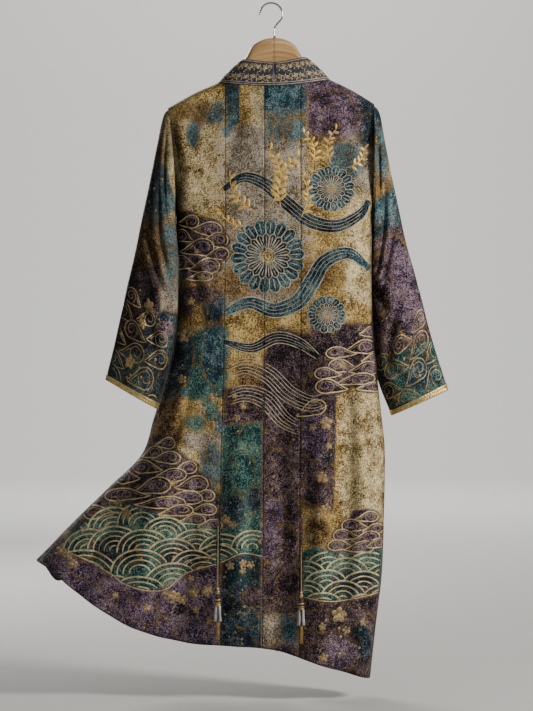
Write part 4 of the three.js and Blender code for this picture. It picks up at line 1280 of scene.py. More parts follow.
BACK_GROUND = [
    patch("cream", 22, 1.0, (-98, -210), (66, -210), (66, -640), (-98, -650)),
    patch("stone", 40, 0.5, (-98, -270), (66, -250), (66, -640), (-98, -650)),
    # Strips and patches under the collar.
    patch("blue", 7, 0.45, (-98, -170), (-67, -170), (-66, -250), (-98, -284)),
    patch("gold", 3, 2, (-66, -170), (-42, -170), (-41, -256), (-66, -250)),
    patch("cream", 3, 2, (-42, -170), (-15, -170), (-15, -270), (-41, -264)),
    patch("blue", 4, 2, (-14, -170), (78, -170), (76, -224), (-14, -230)),
    patch("blue", 30, 0.12, (-14, -226), (76, -222), (70, -290), (0, -290)),
    patch("violet", 16, 0.7, (78, -150), (206, -180), (200, -262), (150, -286), (84, -276)),
    blob("stone", 20, 0.4, 130, -212, 40, 22), blob("plum", 12, 0.8, 104, -206, 24, 22),
    patch("navy", 14, 1.4, (176, -180), (240, -200), (238, -310), (192, -300)),
    blob("blue", 10, 0.8, 206, -270, 20, 30), blob("blue", 14, 0.4, 168, -250, 22, 24),
    blob("brown", 14, 0.3, 118, -286, 40, 22),
    blob("navy", 10, 0.6, 160, -228, 26, 14), blob("cream", 10, 0.3, 150, -250, 30, 12),
    patch("stone", 16, 0.9, (128, -290), (226, -296), (222, -408), (136, -404)),
    blob("blue", 18, 0.12, 160, -340, 30, 36),
    patch("cream", 18, 0.9, (168, -380), (226, -376), (222, -650), (164, -640)),
    patch("cream", 24, 0.5, (-186, -220), (-100, -210), (-100, -446), (-186, -440)),
    blob("blue", 12, 0.35, -168, -285, 13, 27, 10), blob("stone", 10, 0.3, -160, -262, 14, 12),
    blob("blue", 14, 0.3, -112, -236, 14, 22), blob("blue", 12, 0.25, -130, -250, 10, 12),
    blob("brown", 18, 0.2, -150, -236, 44, 20), blob("gold", 14, 0.8, -146, -400, 34, 40),
    # The middle of the back, behind the flowers and the water.
    blob("gold", 24, 0.8, 110, -540, 60, 44), blob("brown", 22, 0.3, 66, -590, 60, 30),
    blob("gold", 20, 0.6, -70, -460, 30, 30), blob("gold", 20, 0.7, -60, -700, 40, 28),
    blob("brown", 22, 0.35, -70, -600, 30, 30, 10),
    patch("gold", 16, 0.9, (96, -590), (206, -600), (206, -690), (96, -700)),
    patch("plum", 12, 1.0, (14, -700), (96, -716), (96, -800), (-15, -800), (-15, -760)),
    patch("brown", 12, 0.9, (-72, -780), (-16, -780), (-16, -828), (-60, -828)),
    patch("plum", 9, 1.5, (-98, -828), (-16, -828), (-16, -892), (-98, -900)),
    blob("gold", 8, 0.9, -56, -858, 20, 9), blob("gold", 8, 0.8, -84, -870, 9, 16),
    patch("gold", 12, 0.8, (-98, -750), (-72, -750), (-70, -820), (-98, -824)),
    # The left column.
    blob("plum", 10, 0.9, -158, -534, 40, 70),
    patch("gold", 10, 1.4, (-206, -600), (-98, -596), (-98, -706), (-206, -706)),
    blob("plum", 14, 0.7, -182, -640, 16, 34), blob("navy", 14, 0.8, -124, -664, 24, 40),
    blob("plum", 14, 0.6, -152, -626, 30, 22), blob("brown", 14, 0.5, -110, -610, 20, 20),
    blob("gold", 10, 0.4, -150, -660, 14, 14),
    patch("teal", 14, 1.2, (-226, -716), (-150, -706), (-130, -690), (-98, -700), (-99, -852),
          (-170, -846),
          (-232, -800)),
    blob("blue", 14, 0.6, -120, -756, 26, 60), blob("navy", 16, 1.0, -196, -776, 26, 60, -14),
    # This brown patch is printed ground, and it also stands in for the shadow under the left
    # sleeve: painted shadow.
    patch("brown", 12, 0.9, (-240, -800), (-196, -824), (-176, -900), (-206, -956), (-280, -936)),
    patch("gold", 10, 1.3, (-196, -846), (-99, -842), (-100, -930), (-196, -936)),
    blob("teal", 14, 0.4, -130, -872, 18, 22), blob("blue", 14, 0.3, -112, -900, 14, 20),
    blob("teal", 14, 0.3, -160, -900, 18, 14),
    patch("stone", 16, 0.8, (-190, -924), (-100, -924), (-101, -1030), (-140, -1020), (-176, -960)),
    blob("blue", 18, 0.12, -124, -990, 20, 40), blob("gold", 12, 0.6, -122, -950, 16, 20),
    patch("cream", 9, 1.6, (-212, -956), (-156, -952), (-140, -1002), (-176, -984)),
    patch("navy", 10, 1.5, (-226, -936), (-190, -964), (-150, -1010), (-104, -1060), (-101, -1124),
          (-180, -1104),
          (-257, -1084), (-353, -1073), (-404, -1112), (-430, -1130), (-300, -1000)),
    # The middle columns, below the water.
    patch("teal", 6, 2, (-101, -906), (-16, -900), (-18, -1124), (-105, -1124)),
    blob("brown", 12, 0.5, -40, -934, 26, 32), blob("gold", 14, 0.22, -60, -1000, 24, 40),
    blob("navy", 14, 0.7, -80, -1084, 22, 30), blob("navy", 12, 0.5, -34, -1060, 16, 22),
    patch("plum", 7, 1.6, (-15, -800), (66, -800), (63, -1300), (-19, -1300)),
    blob("brown", 12, 0.9, 16, -926, 28, 28), blob("navy", 14, 0.8, 14, -1010, 26, 50),
    blob("navy", 14, 0.8, 40, -1090, 22, 30), blob("violet", 14, 0.8, 6, -1096, 22, 30),
    blob("blue", 18, 0.7, 26, -1160, 30, 44), blob("violet", 16, 0.9, -2, -1146, 22, 46),
    blob("brown", 14, 0.4, 40, -1240, 26, 24),
    # The right side.
    patch("plum", 12, 1.6, (92, -690), (232, -690), (238, -822), (150, -826), (68, -838)),
    blob("navy", 14, 0.9, 150, -790, 60, 26), blob("teal", 12, 0.5, 128, -806, 26, 18),
    patch("plum", 9, 1.6, (66, -838), (139, -826), (136, -1086), (62, -1080)),
    blob("violet", 16, 0.8, 94, -926, 28, 50), blob("navy", 8, 1.2, 122, -971, 17, 18),
    blob("brown", 12, 0.8, 92, -1040, 28, 30),
    patch("gold", 5, 2, (141, -826), (240, -812), (246, -1128), (134, -1126)),
    patch("cream", 18, 0.5, (156, -836), (236, -824), (240, -1108), (150, -1100)),
    blob("gold", 8, 1.4, 106, -1090, 32, 18), blob("gold", 8, 1.2, 116, -1018, 14, 14),
    patch("gold", 10, 1.4, (66, -1070), (134, -1090), (132, -1178), (64, -1178)),
    blob("brown", 10, 0.9, 98, -1130, 26, 30),
    # The hem.
    patch("violet", 14, 1.5, (-520, -1150), (-420, -1150), (-342, -1210), (-251, -1248),
          (-105, -1186),
          (-105, -1400), (-520, -1300)),
    blob("plum", 14, 1.0, -140, -1216, 40, 26), blob("brown", 14, 0.7, -400, -1206, 50, 18, -30),
    blob("brown", 12, 0.9, -446, -1178, 26, 18), blob("plum", 14, 1.2, -180, -1300, 60, 26, -10),
    blob("brown", 14, 0.7, -330, -1262, 40, 14, -30), blob("navy", 16, 0.9, -150, -1346, 50, 30),
    blob("navy", 14, 0.6, -290, -1296, 50, 16, -28),
    patch("navy", 12, 2, (-105, -1186), (-22, -1178), (-23, -1400), (-110, -1400)),
    patch("teal", 14, 0.9, (-100, -1190), (-24, -1186), (-24, -1250), (-100, -1262)),
    blob("blue", 12, 0.6, -60, -1300, 20, 30), blob("plum", 12, 0.6, -40, -1270, 20, 20),
    patch("stone", 12, 0.9, (-28, -1276), (58, -1274), (57, -1400), (-28, -1392)),
    blob("gold", 12, 0.9, 0, -1312, 26, 26), blob("blue", 12, 0.6, 40, -1340, 16, 30),
    blob("violet", 14, 0.7, 20, -1390, 40, 20),
    patch("plum", 12, 2, (58, -1262), (250, -1250), (240, -1500), (57, -1500)),
    blob("brown", 16, 0.6, 110, -1318, 44, 20), blob("navy", 14, 1.4, 196, -1366, 34, 60),
    blob("violet", 16, 0.8, 140, -1390, 40, 40), blob("navy", 16, 0.8, 96, -1400, 26, 34),
    *lobe_ground(UPPER_CLOUDS), *lobe_ground(LEFT_CLOUDS), *lobe_ground(RIGHT_CLOUDS),
    *lobe_ground(LOW_CLOUDS),
    patch("teal", 7, 1.6, *LEFT_SEA),
    patch("teal", 7, 1.6, *RIGHT_SEA),
    blob("navy", 14, 0.8, -330, -1170, 50, 30), blob("navy", 14, 0.8, -180, -1180, 50, 24),
    blob("navy", 14, 0.8, 180, -1240, 50, 24), blob("brown", 14, 0.4, -400, -1160, 40, 24),
    *[stream_ground(*stream) for stream in STREAMS],
    *[part for flower in KIKU for part in rosette_ground(*flower)],
]
FRONT_GROUND = [
    patch("cream", 24, 1, (-206, -240), (240, -240), (236, -600), (-206, -600)),
    # The right front.
    patch("plum", 10, 1.6, (60, -150), (150, -180), (146, -300), (76, -320)),
    patch("navy", 12, 1.4, (150, -180), (240, -200), (238, -310), (152, -300)),
    blob("violet", 14, 0.7, 104, -220, 30, 34), blob("brown", 16, 0.4, 130, -300, 40, 18),
    patch("stone", 16, 0.9, (96, -330), (160, -340), (158, -470), (110, -480)),
    patch("teal", 8, 1.5, (168, -400), (240, -396), (238, -520), (166, -512)),
    blob("gold", 16, 0.8, 140, -540, 40, 44), blob("brown", 22, 0.4, 196, -600, 40, 40),
    patch("plum", 10, 1.6, (60, -640), (176, -650), (172, -800), (60, -790)),
    patch("brown", 12, 1.0, (176, -650), (240, -640), (240, -760), (172, -790)),
    patch("teal", 9, 1.8, (60, -800), (150, -806), (148, -960), (60, -950)),
    patch("gold", 10, 1.4, (150, -806), (246, -790), (246, -930), (148, -940)),
    blob("navy", 14, 0.8, 84, -880, 20, 44), blob("cream", 16, 0.7, 200, -860, 30, 40),
    patch("plum", 9, 1.6, (150, -946), (246, -934), (246, -1110), (146, -1104)),
    patch("gold", 10, 1.3, (60, -960), (146, -966), (144, -1110), (60, -1110)),
    blob("violet", 14, 0.8, 196, -1010, 26, 50), blob("brown", 14, 0.6, 100, -1060, 26, 30),
    # The left front.
    patch("teal", 9, 1.6, (-206, -190), (-140, -150), (-136, -268), (-200, -290)),
    patch("gold", 8, 1.6, (-140, -150), (-70, -150), (-74, -300), (-136, -268)),
    blob("blue", 12, 0.5, -160, -300, 20, 26), blob("stone", 16, 0.8, -130, -360, 40, 50),
    blob("brown", 20, 0.4, -170, -420, 30, 40),
    patch("plum", 12, 1.0, (-206, -440), (-130, -452), (-128, -600), (-206, -606)),
    patch("gold", 12, 1.2, (-210, -606), (-60, -600), (-60, -706), (-226, -716)),
    blob("plum", 14, 0.6, -180, -650, 20, 30), blob("navy", 14, 0.7, -110, -660, 24, 34),
    patch("teal", 9, 1.7, (-226, -716), (-140, -706), (-138, -850), (-240, -830)),
    patch("plum", 9, 1.6, (-140, -706), (-60, -712), (-60, -850), (-138, -850)),
    blob("blue", 14, 0.6, -180, -770, 26, 40), blob("violet", 14, 0.7, -96, -780, 22, 40),
    patch("brown", 12, 0.9, (-250, -830), (-180, -850), (-176, -950), (-290, -936)),
    patch("gold", 10, 1.3, (-180, -850), (-120, -850), (-120, -980), (-176, -950)),
    patch("teal", 8, 1.7, (-120, -850), (-50, -850), (-50, -1130), (-118, -1126)),
    blob("navy", 14, 0.7, -84, -1000, 22, 50), blob("gold", 14, 0.3, -80, -920, 18, 30),
    patch("navy", 12, 1.4, (-290, -936), (-176, -960), (-122, -1000), (-118, -1126), (-257, -1090),
          (-353, -1080),
          (-430, -1136)),
    # The hem.
    patch("violet", 12, 1.4, (-520, -1150), (-420, -1150), (-342, -1200), (-150, -1200),
          (-150, -1420),
          (-520, -1330)),
    patch("navy", 12, 1.6, (-150, -1190), (-40, -1190), (-40, -1460), (-150, -1440)),
    blob("brown", 14, 0.6, -300, -1280, 60, 18, -14), blob("plum", 14, 1.0, -220, -1310, 50, 30),
    blob("blue", 14, 0.5, -96, -1300, 24, 40), blob("brown", 14, 0.6, -420, -1200, 40, 16, -30),
    patch("plum", 12, 2, (60, -1250), (250, -1250), (240, -1500), (60, -1500)),
    blob("violet", 14, 0.8, 120, -1370, 34, 40), blob("navy", 14, 1.0, 200, -1340, 26, 50),
    *lobe_ground(UPPER_CLOUDS), *lobe_ground(LEFT_CLOUDS), *lobe_ground(RIGHT_CLOUDS),
    patch("teal", 7, 2, *FRONT_SEA), patch("teal", 7, 2, *FRONT_RIGHT_SEA),
    blob("navy", 14, 0.8, -300, -1170, 60, 30), blob("navy", 14, 0.8, -130, -1190, 40, 24),
]
# The sleeves, as they hang.
LEFT_SLEEVE_GROUND = [
    patch("cream", 10, 1.4, (-260, -215), (-190, -215), (-190, -470), (-240, -470), (-250, -330)),
    patch("brown", 10, 0.5, (-262, -240), (-232, -226), (-236, -330), (-262, -340)),
    patch("blue", 12, 1.0, (-280, -320), (-240, -336), (-214, -396), (-206, -440), (-240, -470),
          (-280, -440)),
    blob("navy", 10, 1.2, -254, -396, 12, 60), blob("cream", 10, 0.8, -210, -380, 12, 50),
    patch("stone", 14, 1.0, (-238, -462), (-190, -456), (-190, -700), (-234, -690)),
    blob("blue", 16, 0.1, -212, -540, 14, 60), blob("cream", 12, 0.6, -210, -610, 14, 50),
    blob("gold", 12, 0.6, -216, -664, 16, 20),
    patch("brown", 12, 0.9, (-300, -450), (-238, -470), (-236, -590), (-310, -590)),
    blob("gold", 12, 0.8, -246, -540, 20, 36),
    patch("plum", 7, 1.7, (-330, -584), (-240, -566), (-238, -680), (-340, -690)),
    blob("brown", 10, 0.8, -280, -600, 26, 16),
    patch("navy", 10, 1.3, (-350, -650), (-190, -672), (-190, -760), (-350, -742)),
    blob("plum", 10, 0.9, -300, -690, 30, 24), blob("violet", 8, 1.2, -228, -700, 16, 16),
    patch("teal", 9, 1.5, (-380, -736), (-190, -760), (-190, -900), (-380, -860)),
    blob("navy", 14, 0.9, -246, -800, 30, 50), blob("brown", 10, 0.8, -270, -790, 30, 20),
    blob("gold", 9, 0.5, -282, -786, 16, 9), blob("blue", 12, 0.5, -320, -780, 20, 30),
]
RIGHT_SLEEVE_GROUND = [
    patch("brown", 12, 0.8, (196, -200), (300, -200), (300, -420), (196, -420)),
    patch("stone", 14, 0.9, (226, -240), (290, -240), (300, -420), (236, -410)),
    blob("blue", 18, 0.15, 238, -320, 14, 46), blob("cream", 10, 1.3, 258, -356, 14, 40),
    patch("navy", 9, 1.6, (200, -190), (250, -190), (236, -262), (204, -300)),
    blob("gold", 7, 1.6, 230, -402, 15, 11), blob("brown", 10, 0.8, 212, -400, 12, 26),
    patch("blue", 6, 1.5, (206, -440), (214, -436), (266, -395), (300, -370), (310, -462),
          (285, -474), (216, -516),
          (200, -522)),
    blob("stone", 12, 0.25, 240, -450, 26, 20), blob("navy", 12, 0.8, 222, -490, 16, 14),
    patch("plum", 8, 1.2, (190, -524), (216, -516), (285, -474), (310, -462), (400, -760),
          (190, -760)),
    blob("violet", 20, 0.8, 286, -610, 36, 110, 12), blob("navy", 16, 0.6, 236, -600, 22, 60),
    patch("teal", 9, 1.4, (190, -764), (262, -756), (330, -722), (400, -700), (420, -900),
          (190, -920)),
    blob("blue", 12, 0.9, 320, -790, 34, 40), blob("gold", 8, 1.1, 260, -778, 12, 12),
    blob("gold", 8, 0.9, 304, -784, 12, 14), blob("gold", 8, 1.1, 270, -846, 20, 12),
    blob("navy", 12, 1.0, 246, -830, 18, 40), blob("brown", 10, 0.7, 240, -800, 14, 30),
]


# ---- Camera, in metres, from as far back as the photo's ----
CAMERA_AT, LENS, SENSOR, FAR_CLIP = (-0.010, -5.0, -0.756), 117.7, 36, 40
camera_data = bpy.data.cameras.new("camera")
camera_data.lens, camera_data.sensor_width, camera_data.clip_end = LENS, SENSOR, FAR_CLIP
camera = bpy.data.objects.new("camera", camera_data)
camera.location = CAMERA_AT
camera.rotation_euler = (math.radians(90), 0, 0)
bpy.context.scene.collection.objects.link(camera)
bpy.context.scene.camera = camera

# ---- Finishes ----
PRINT = robe_finish()
LINING = lining_finish()
GOLD_THREAD = thread_finish("gold_thread", (0.035, 0.022, 0.010), (0.24, 0.155, 0.06),
                            (0.56, 0.41, 0.19))
CREAM_THREAD = thread_finish("cream_thread", (0.08, 0.066, 0.045), (0.40, 0.335, 0.23),
                             (0.70, 0.62, 0.46), 0.1)
SEA_THREAD = thread_finish("sea_thread", (0.11, 0.075, 0.035), (0.50, 0.37, 0.18),
                           (0.80, 0.66, 0.38), 0.1)
BRIGHT_THREAD = thread_finish("bright_gold_thread", (0.30, 0.15, 0.02), (0.74, 0.45, 0.08),
                              (0.98, 0.76, 0.27), 0.2)
CORD_THREAD = thread_finish("gold_cord", (0.15, 0.085, 0.025), (0.40, 0.26, 0.09),
                            (0.66, 0.48, 0.22), 0.4)
SILVER_THREAD = thread_finish("silver_thread", (0.22, 0.22, 0.21), (0.52, 0.52, 0.50),
                              (0.86, 0.85, 0.81), 0.1)
BEAD_SILVER = thread_finish("bead_silver", (0.42, 0.41, 0.38), (0.66, 0.65, 0.61),
                            (0.86, 0.85, 0.80), 0.7)
BEAD_GOLD = thread_finish("bead_gold", (0.22, 0.14, 0.05), (0.50, 0.35, 0.14), (0.78, 0.62, 0.32),
                          0.95)
BEAD_DARK = thread_finish("bead_dark", (0.012, 0.010, 0.010), (0.035, 0.028, 0.024),
                          (0.11, 0.085, 0.06), 0.4)
BAND = band_finish()
BRAID = braid_finish()
WOOD = wood_finish()
STEEL = steel_finish()

# ---- Cords, beads and tassels ----
TASSELS = {"left": (-113, -1118, -1247), "right": (63.5, -1163, -1255)}  # x, cord top, cord end
BEAD_REACH = 34
HEAD_HEIGHT = 5
SKIRT = {"count": 84, "radius": 5.4, "length": 33, "spread": 3.0, "thick": 0.55}
CORE = {"count": 60, "radius": 2.4, "length": 72, "spread": 0.8, "thick": 0.5}
TASSEL_RADIUS = 9.9  # of the outer skirt at its foot, as the solid has it
CORE_RADIUS = 4.1
CORD_IN_TASSEL = 55
SILVER_BEADS = [(0, 0), (1.3, -0.2), (2.3, -1.2), (2.7, -2.5), (2.3, -3.9), (1.5, -4.9),
                (1.5, -5.2)]
GOLD_BEADS = [(1.5, -5.2), (3.0, -5.8), (3.9, -7.4), (4.2, -9.4), (4.2, -11.2), (3.9, -12.8),
              (3.0, -14.2),
              (2.4, -14.8)]
DARK_BEADS = [(2.4, -14.8), (2.6, -15.2), (4.4, -16.2), (5.2, -17.4), (5.7, -18.2), (5.95, -20),
              (5.95, -21.4),
              (5.2, -22.0), (5.2, -22.6), (5.9, -23.2), (5.7, -24.2)]
RING_BEADS = [(5.7, -24.2), (6.6, -24.7), (6.85, -25.8), (6.85, -26.6), (6.5, -27.4), (5.9, -27.9)]
GAP_BEADS = [(5.9, -27.9), (5.5, -28.4), (5.5, -30.2), (5.9, -30.8)]
FOOT_BEADS = [(5.9, -30.8), (6.6, -31.2), (6.85, -32.0), (6.85, -32.8), (6.5, -33.8), (0, -34)]
BEADS = (SILVER_BEADS, GOLD_BEADS, DARK_BEADS, RING_BEADS, GAP_BEADS, FOOT_BEADS)
BEAD_KINDS = (0, 1, 2, 1, 2, 1)  # silver, gold or dark
HEAD = [(0, 0), (5.2, -0.1), (6.3, -1.2), (6.5, -2.6), (6.2, -4), (5.4, -5), (0, -5)]
STRAND_CLEAR = 0.6  # between a tassel and the cloth
LOBE_REACH = 58  # degrees to each side of the middle of a tassel's lobe
ROPE = {"strands": 3, "pitch": 6.5, "radius": 0.98 * CORD_RADIUS}


def tassel_y(x, cord_end):
    """How far in -Y a tassel hangs so that it just clears the cloth behind it."""
    down = np.arange(0, BEAD_REACH + HEAD_HEIGHT + CORE["length"] + 1, 4)
    wide = np.where(down < BEAD_REACH + HEAD_HEIGHT + SKIRT["length"], TASSEL_RADIUS, CORE_RADIUS)
    across, wide = np.meshgrid([-1, -0.5, 0, 0.5, 1], wide)
    at_x, at_z = x + across * wide, cord_end - down[:, None] + 0 * wide
    cloth = body_point(at_x, level_at(at_x, at_z, False), False)[..., 1]
    return float((cloth - wide * np.sqrt(1 - across**2)).min() - STRAND_CLEAR)


def cord_line(x, top, end, y):
    """From the seam down over the cloth to the beads, and on into the tassel."""
    t = np.linspace(0, 1, 60)
    z = mix(top, end, t)
    cloth = body_point(x + 0 * z, level_at(x + 0 * z, z, False), False)[:, 1] - CORD_RADIUS - 0.5
    hung = np.stack([x + 0 * z, mix(cloth, np.minimum(cloth, y), smooth(t * 1.2 - 0.15)), z],
                    axis=1)
    inside = np.linspace(end, end - CORD_IN_TASSEL, 24)[1:]
    return np.concatenate([hung, np.stack([x + 0 * inside, y + 0 * inside, inside], axis=1)])


def twisted(line, radius, strands, pitch):
    """Strands wound round a line."""
    far = distances(line)
    at = np.linspace(0, far[-1], int(far[-1] / pitch * 14) + 2)
    middle = np.stack([np.interp(at, far, c) for c in line.T], axis=1)
    run = unit(np.gradient(middle, axis=0))
    side = unit(np.cross(run, (0, 1.0, 0)))
    up = np.cross(side, run)
    parts = []
    for k in range(strands):
        turn = 2 * math.pi * (at / pitch + k / strands)
        wound = middle + radius * 0.5 * (np.cos(turn)[:, None] * side + np.sin(turn)[:, None] * up)
        parts.append(tube(wound, radius * 0.56, 6))
    return joined(parts)


def strands(rng, ring, centre, lobes=0):
    """Fine tassel strands that hang from a ring, in lobes if any, opening a little downwards."""
    parts = []
    for i in range(ring["count"]):
        angle = 2 * math.pi * (i + rng.uniform(-0.4, 0.4)) / ring["count"]
        if lobes:
            angle = 2 * math.pi * (i % lobes) / lobes + math.radians(LOBE_REACH) * rng.uniform(-1,
                                                                                               1)
        inset = rng.uniform(0.45, 1.0) if i % 3 else 1.0
        start = ring["radius"] * inset
        end = (ring["radius"] + ring["spread"] * rng.uniform(0.5, 1)) * inset
        long = ring["length"] * rng.uniform(0.9, 1.0)
        t = np.linspace(0, 1, 9)
        out = mix(start, end, t**1.4) + 0.25 * np.sin(5 * t + 6 * rng.random())
        swing = angle + 0.10 * np.sin(2.5 * t + 6 * rng.random())
        line = np.stack([out * np.cos(swing), out * np.sin(swing), mix(1.5, -long, t)], axis=1)
        parts.append(tube(line + centre, ring["thick"] * (1 - 0.25 * t), 4))
    return joined(parts)


for side, (tassel_x, cord_top, cord_end) in TASSELS.items():
    rng = np.random.default_rng(11 if side == "left" else 12)
    hang_y = tassel_y(tassel_x, cord_end)
    line = cord_line(tassel_x, cord_top, cord_end, hang_y)
    points, faces = twisted(line, ROPE["radius"], ROPE["strands"], ROPE["pitch"])
    cord = new_piece("tassel_cord_" + side + "_rope", points, faces, [CORD_THREAD],
                     ["tassel_cord_" + side])
    top = np.array((tassel_x, hang_y, cord_end))
    parts = [lathe(profile, 40, top) for profile in BEADS]
    kinds = np.repeat(BEAD_KINDS, [len(part[1]) for part in parts])
    points, faces = joined(parts)
    beads = new_piece("tassel_beads_" + side + "_turned", points, faces,
                      [BEAD_SILVER, BEAD_GOLD, BEAD_DARK], ["tassel_beads_" + side],
                      kinds)
    foot = top - (0, 0, BEAD_REACH + SEAM_GAP)
    head = lathe(HEAD, 36, foot)
    skirt = strands(rng, SKIRT, foot - (0, 0, HEAD_HEIGHT), 2)
    core = strands(rng, CORE, foot - (0, 0, HEAD_HEIGHT))
    points, faces = joined([head, skirt, core])
    kinds = np.repeat([1, 0, 1], [len(part[1]) for part in (head, skirt, core)])
    low = np.array([np.mean([points[v][2] for v in face]) for face in faces])
    core_in_shade = low > foot[2] - HEAD_HEIGHT - 0.94 * SKIRT["length"]  # the core under the skirt
    in_core = np.arange(len(faces)) >= len(head[1]) + len(skirt[1])
    # Core strands under the skirt take the dark bead finish: painted shade under the skirt.
    kinds = np.where(in_core & core_in_shade, 2, kinds)
    tassel = new_piece("tassel_" + side + "_strands", points, faces,
                       [SILVER_THREAD, CORD_THREAD, BEAD_DARK],
                       ["tassel_" + side], kinds)
    long = float(distances(line)[-1]) * MM


# ---- Cloth ----
# How dark the cloth is painted: darker along the seams, sides, hem and the sleeves' folded edges,
# and painted shadow where body and sleeve rest against each other; each with how wide it fades.
PAINTED_DARK = {"seam": (0.04, 1.2), "side": (0.5, 5), "hem": (0.6, 3.5), "fold": (0.35, 3),
        "armhole": (0.6, 9)}
# Painted shadow on the body beside the sleeves (strength, how wide it fades), painted shadow on the
# sleeves near the body, and painted shade over the outer part of a sleeve turned from the light.
BODY_SHADE = {"left": (0.9, 20), "right": (0.5, 6)}
SLEEVE_SHADE = {"left": 0.25, "right": 0.85}
SLEEVE_OUTER_SHADE = {"left": 0.6, "right": 0.0}  # the outer part of a sleeve
LEVEL_DROP = 118  # from the last level but one to the hem, on average


def painted_dark_at(where, away):
    strength, wide = PAINTED_DARK[where]
    return strength * bell(away, wide)


def body_levels(per_level):
    """The levels at which a panel has points, closest above the armpits."""
    fine = np.linspace(0, 1, int(2.1 * per_level))
    return np.concatenate([fine, np.linspace(1, HEM, (HEM - 1) * per_level + 1)[1:]])


def body_piece(name, front, left_edge, right_edge, columns, per_level, ease, ground):
    """One panel of the body between two edges given as x over the level. ease crowds its
    columns towards the side seam."""
    r = body_levels(per_level)
    t = np.linspace(0, 1, columns)
    t = t**1.5 if ease == "left" else 1 - (1 - t)**1.5 if ease == "right" else t
    x = left_edge(r)[:, None] * (1 - t) + right_edge(r)[:, None] * t
    level = np.broadcast_to(r[:, None], x.shape)
    grid = body_point(x, level, front)
    way = 1 if front else -1
    grid[..., 1] += way * SEAM_GAP / 2
    piece = shell(name + "_cloth", grid, CLOTH_WALL, lambda normals: normals[..., 1] * way,
                  [PRINT, LINING], [name])
    flat = np.stack([x, grid[..., 2]], axis=-1)
    paint(piece, np.concatenate([flat.reshape(-1, 2)] * 2), ground)
    left_x, _, right_x, _, _ = level_ends(level)
    from_left, from_right = x - left_x, right_x - x
    dark = np.maximum(painted_dark_at("side", np.minimum(from_left, from_right)),
                      painted_dark_at("hem", (HEM - level) * LEVEL_DROP))
    if not front:
        dark = np.maximum(dark, painted_dark_at("seam", seam_distance(x, level)))
    set_values(piece, "seam", np.tile(dark.ravel(), 2))
    z = grid[..., 2]
    # Painted shadow on the body beside the sleeves, stored as its "hollow" values.
    beside_sleeve = smooth((z + 800) / 90) * smooth((-205 - z) / 80) * (0.4 if front else 1)
    (left, left_wide), (right, right_wide) = BODY_SHADE["left"], BODY_SHADE["right"]
    shade = np.maximum(left * bell(from_left, left_wide), right * bell(from_right, right_wide))
    set_values(piece, "hollow", np.tile((shade * beside_sleeve).ravel(), 2))
    return piece


def sleeve_piece(name, table, ground):
    """A sleeve's tube from armhole to cuff."""
    long = sleeve_length(table)
    t, angle = np.linspace(0, 1, 156), 2 * math.pi * np.arange(92) / 92
    level, turn = np.meshgrid(t, angle, indexing="ij")
    grid = sleeve_point(table, level, turn)
    middle = grid.mean(axis=1, keepdims=True)
    piece = shell(name + "_cloth", grid, CLOTH_WALL,
                  lambda normals: ((grid - middle) * normals).sum(-1), [PRINT, LINING],
                  [name], True)
    across = sleeve_point(table, t, 0 * t) - sleeve_point(table, t, 0 * t + math.pi)
    half = np.linalg.norm(across, axis=1)[:, None] / 2
    paint(piece, np.concatenate([grid[..., [0, 2]].reshape(-1, 2)] * 2), ground)
    fold = painted_dark_at("fold", half * (1 - np.abs(np.cos(turn))))
    set_values(piece, "seam", np.tile(fold.ravel(), 2))
    inner = half * (1 + np.cos(turn))
    side = "left" if table is LEFT_SLEEVE else "right"
    # Painted shadow on the sleeve near the body and round the armhole, and painted shade over the
    # outer part of the left sleeve, turned from the light; stored as its "hollow" values.
    shade = SLEEVE_SHADE[side] * bell(inner, 24) * smooth((620 - level * long) / 200)
    hollow = np.maximum(shade, painted_dark_at("armhole", level * long)) * (np.sin(turn) > -0.2)
    hollow = np.maximum(hollow, SLEEVE_OUTER_SHADE[side] * smooth((np.cos(turn) + 0.45) / 0.8))
    set_values(piece, "hollow", np.tile(hollow.ravel(), 2))
    return piece


def side_left(r):
    return level_ends(r)[0]


def side_right(r):
    return level_ends(r)[2]


def seam_edge(number, shift):
    return lambda r: seam_x(number, r) + shift * SEAM_SHOWN / 2


def band_edge(is_left):
    shift = -1 if is_left else 1
    return lambda r: band_seam_x(r, is_left) + shift * SEAM_GAP / 2


PANELS = [  # name, front, edges, columns, rows a level, side towards which columns crowd
    ("back_side_left", False, side_left, seam_edge(0, -1), 92, 27, "left"),
    ("back_centre_left", False, seam_edge(0, 1), seam_edge(1, -1), 27, 27, None),
    ("back_centre_right", False, seam_edge(1, 1), seam_edge(2, -1), 25, 27, None),
    ("back_side_right", False, seam_edge(2, 1), side_right, 46, 27, "right"),
    ("front_left", True, side_left, band_edge(True), 72, 20, "left"),
    ("front_right", True, band_edge(False), side_right, 36, 20, "right"),
]
SLEEVES = {"left": LEFT_SLEEVE, "right": RIGHT_SLEEVE}
BODY = {panel[0]: body_piece(*panel, FRONT_GROUND if panel[1] else BACK_GROUND)
        for panel in PANELS}
BODY["sleeve_left"] = sleeve_piece("sleeve_left", LEFT_SLEEVE, LEFT_SLEEVE_GROUND)
BODY["sleeve_right"] = sleeve_piece("sleeve_right", RIGHT_SLEEVE, RIGHT_SLEEVE_GROUND)


# ---- Embroidery and print lines ----
CREST_THREAD, ARC_THREAD, SHORE_THREAD, CLOUD_THREAD = 3.8, 2.9, 2.0, 2.5
SLEEVE_CLOUD_THREAD = 2.0


def sea(hills, edge, place, keep):
    """Threads of overlapping wave hills inside an edge: their crests, and the arcs under them."""
    shapes = [wave_mound((x, z), *hill) for x, z, *hill in hills]
    crests, arcs = outlines_and_insides(shapes, lambda at: in_polygon(at, edge) > 1.5)
    return [threads(crests, CREST_THREAD, place, keep), threads(arcs, ARC_THREAD, place, keep)]


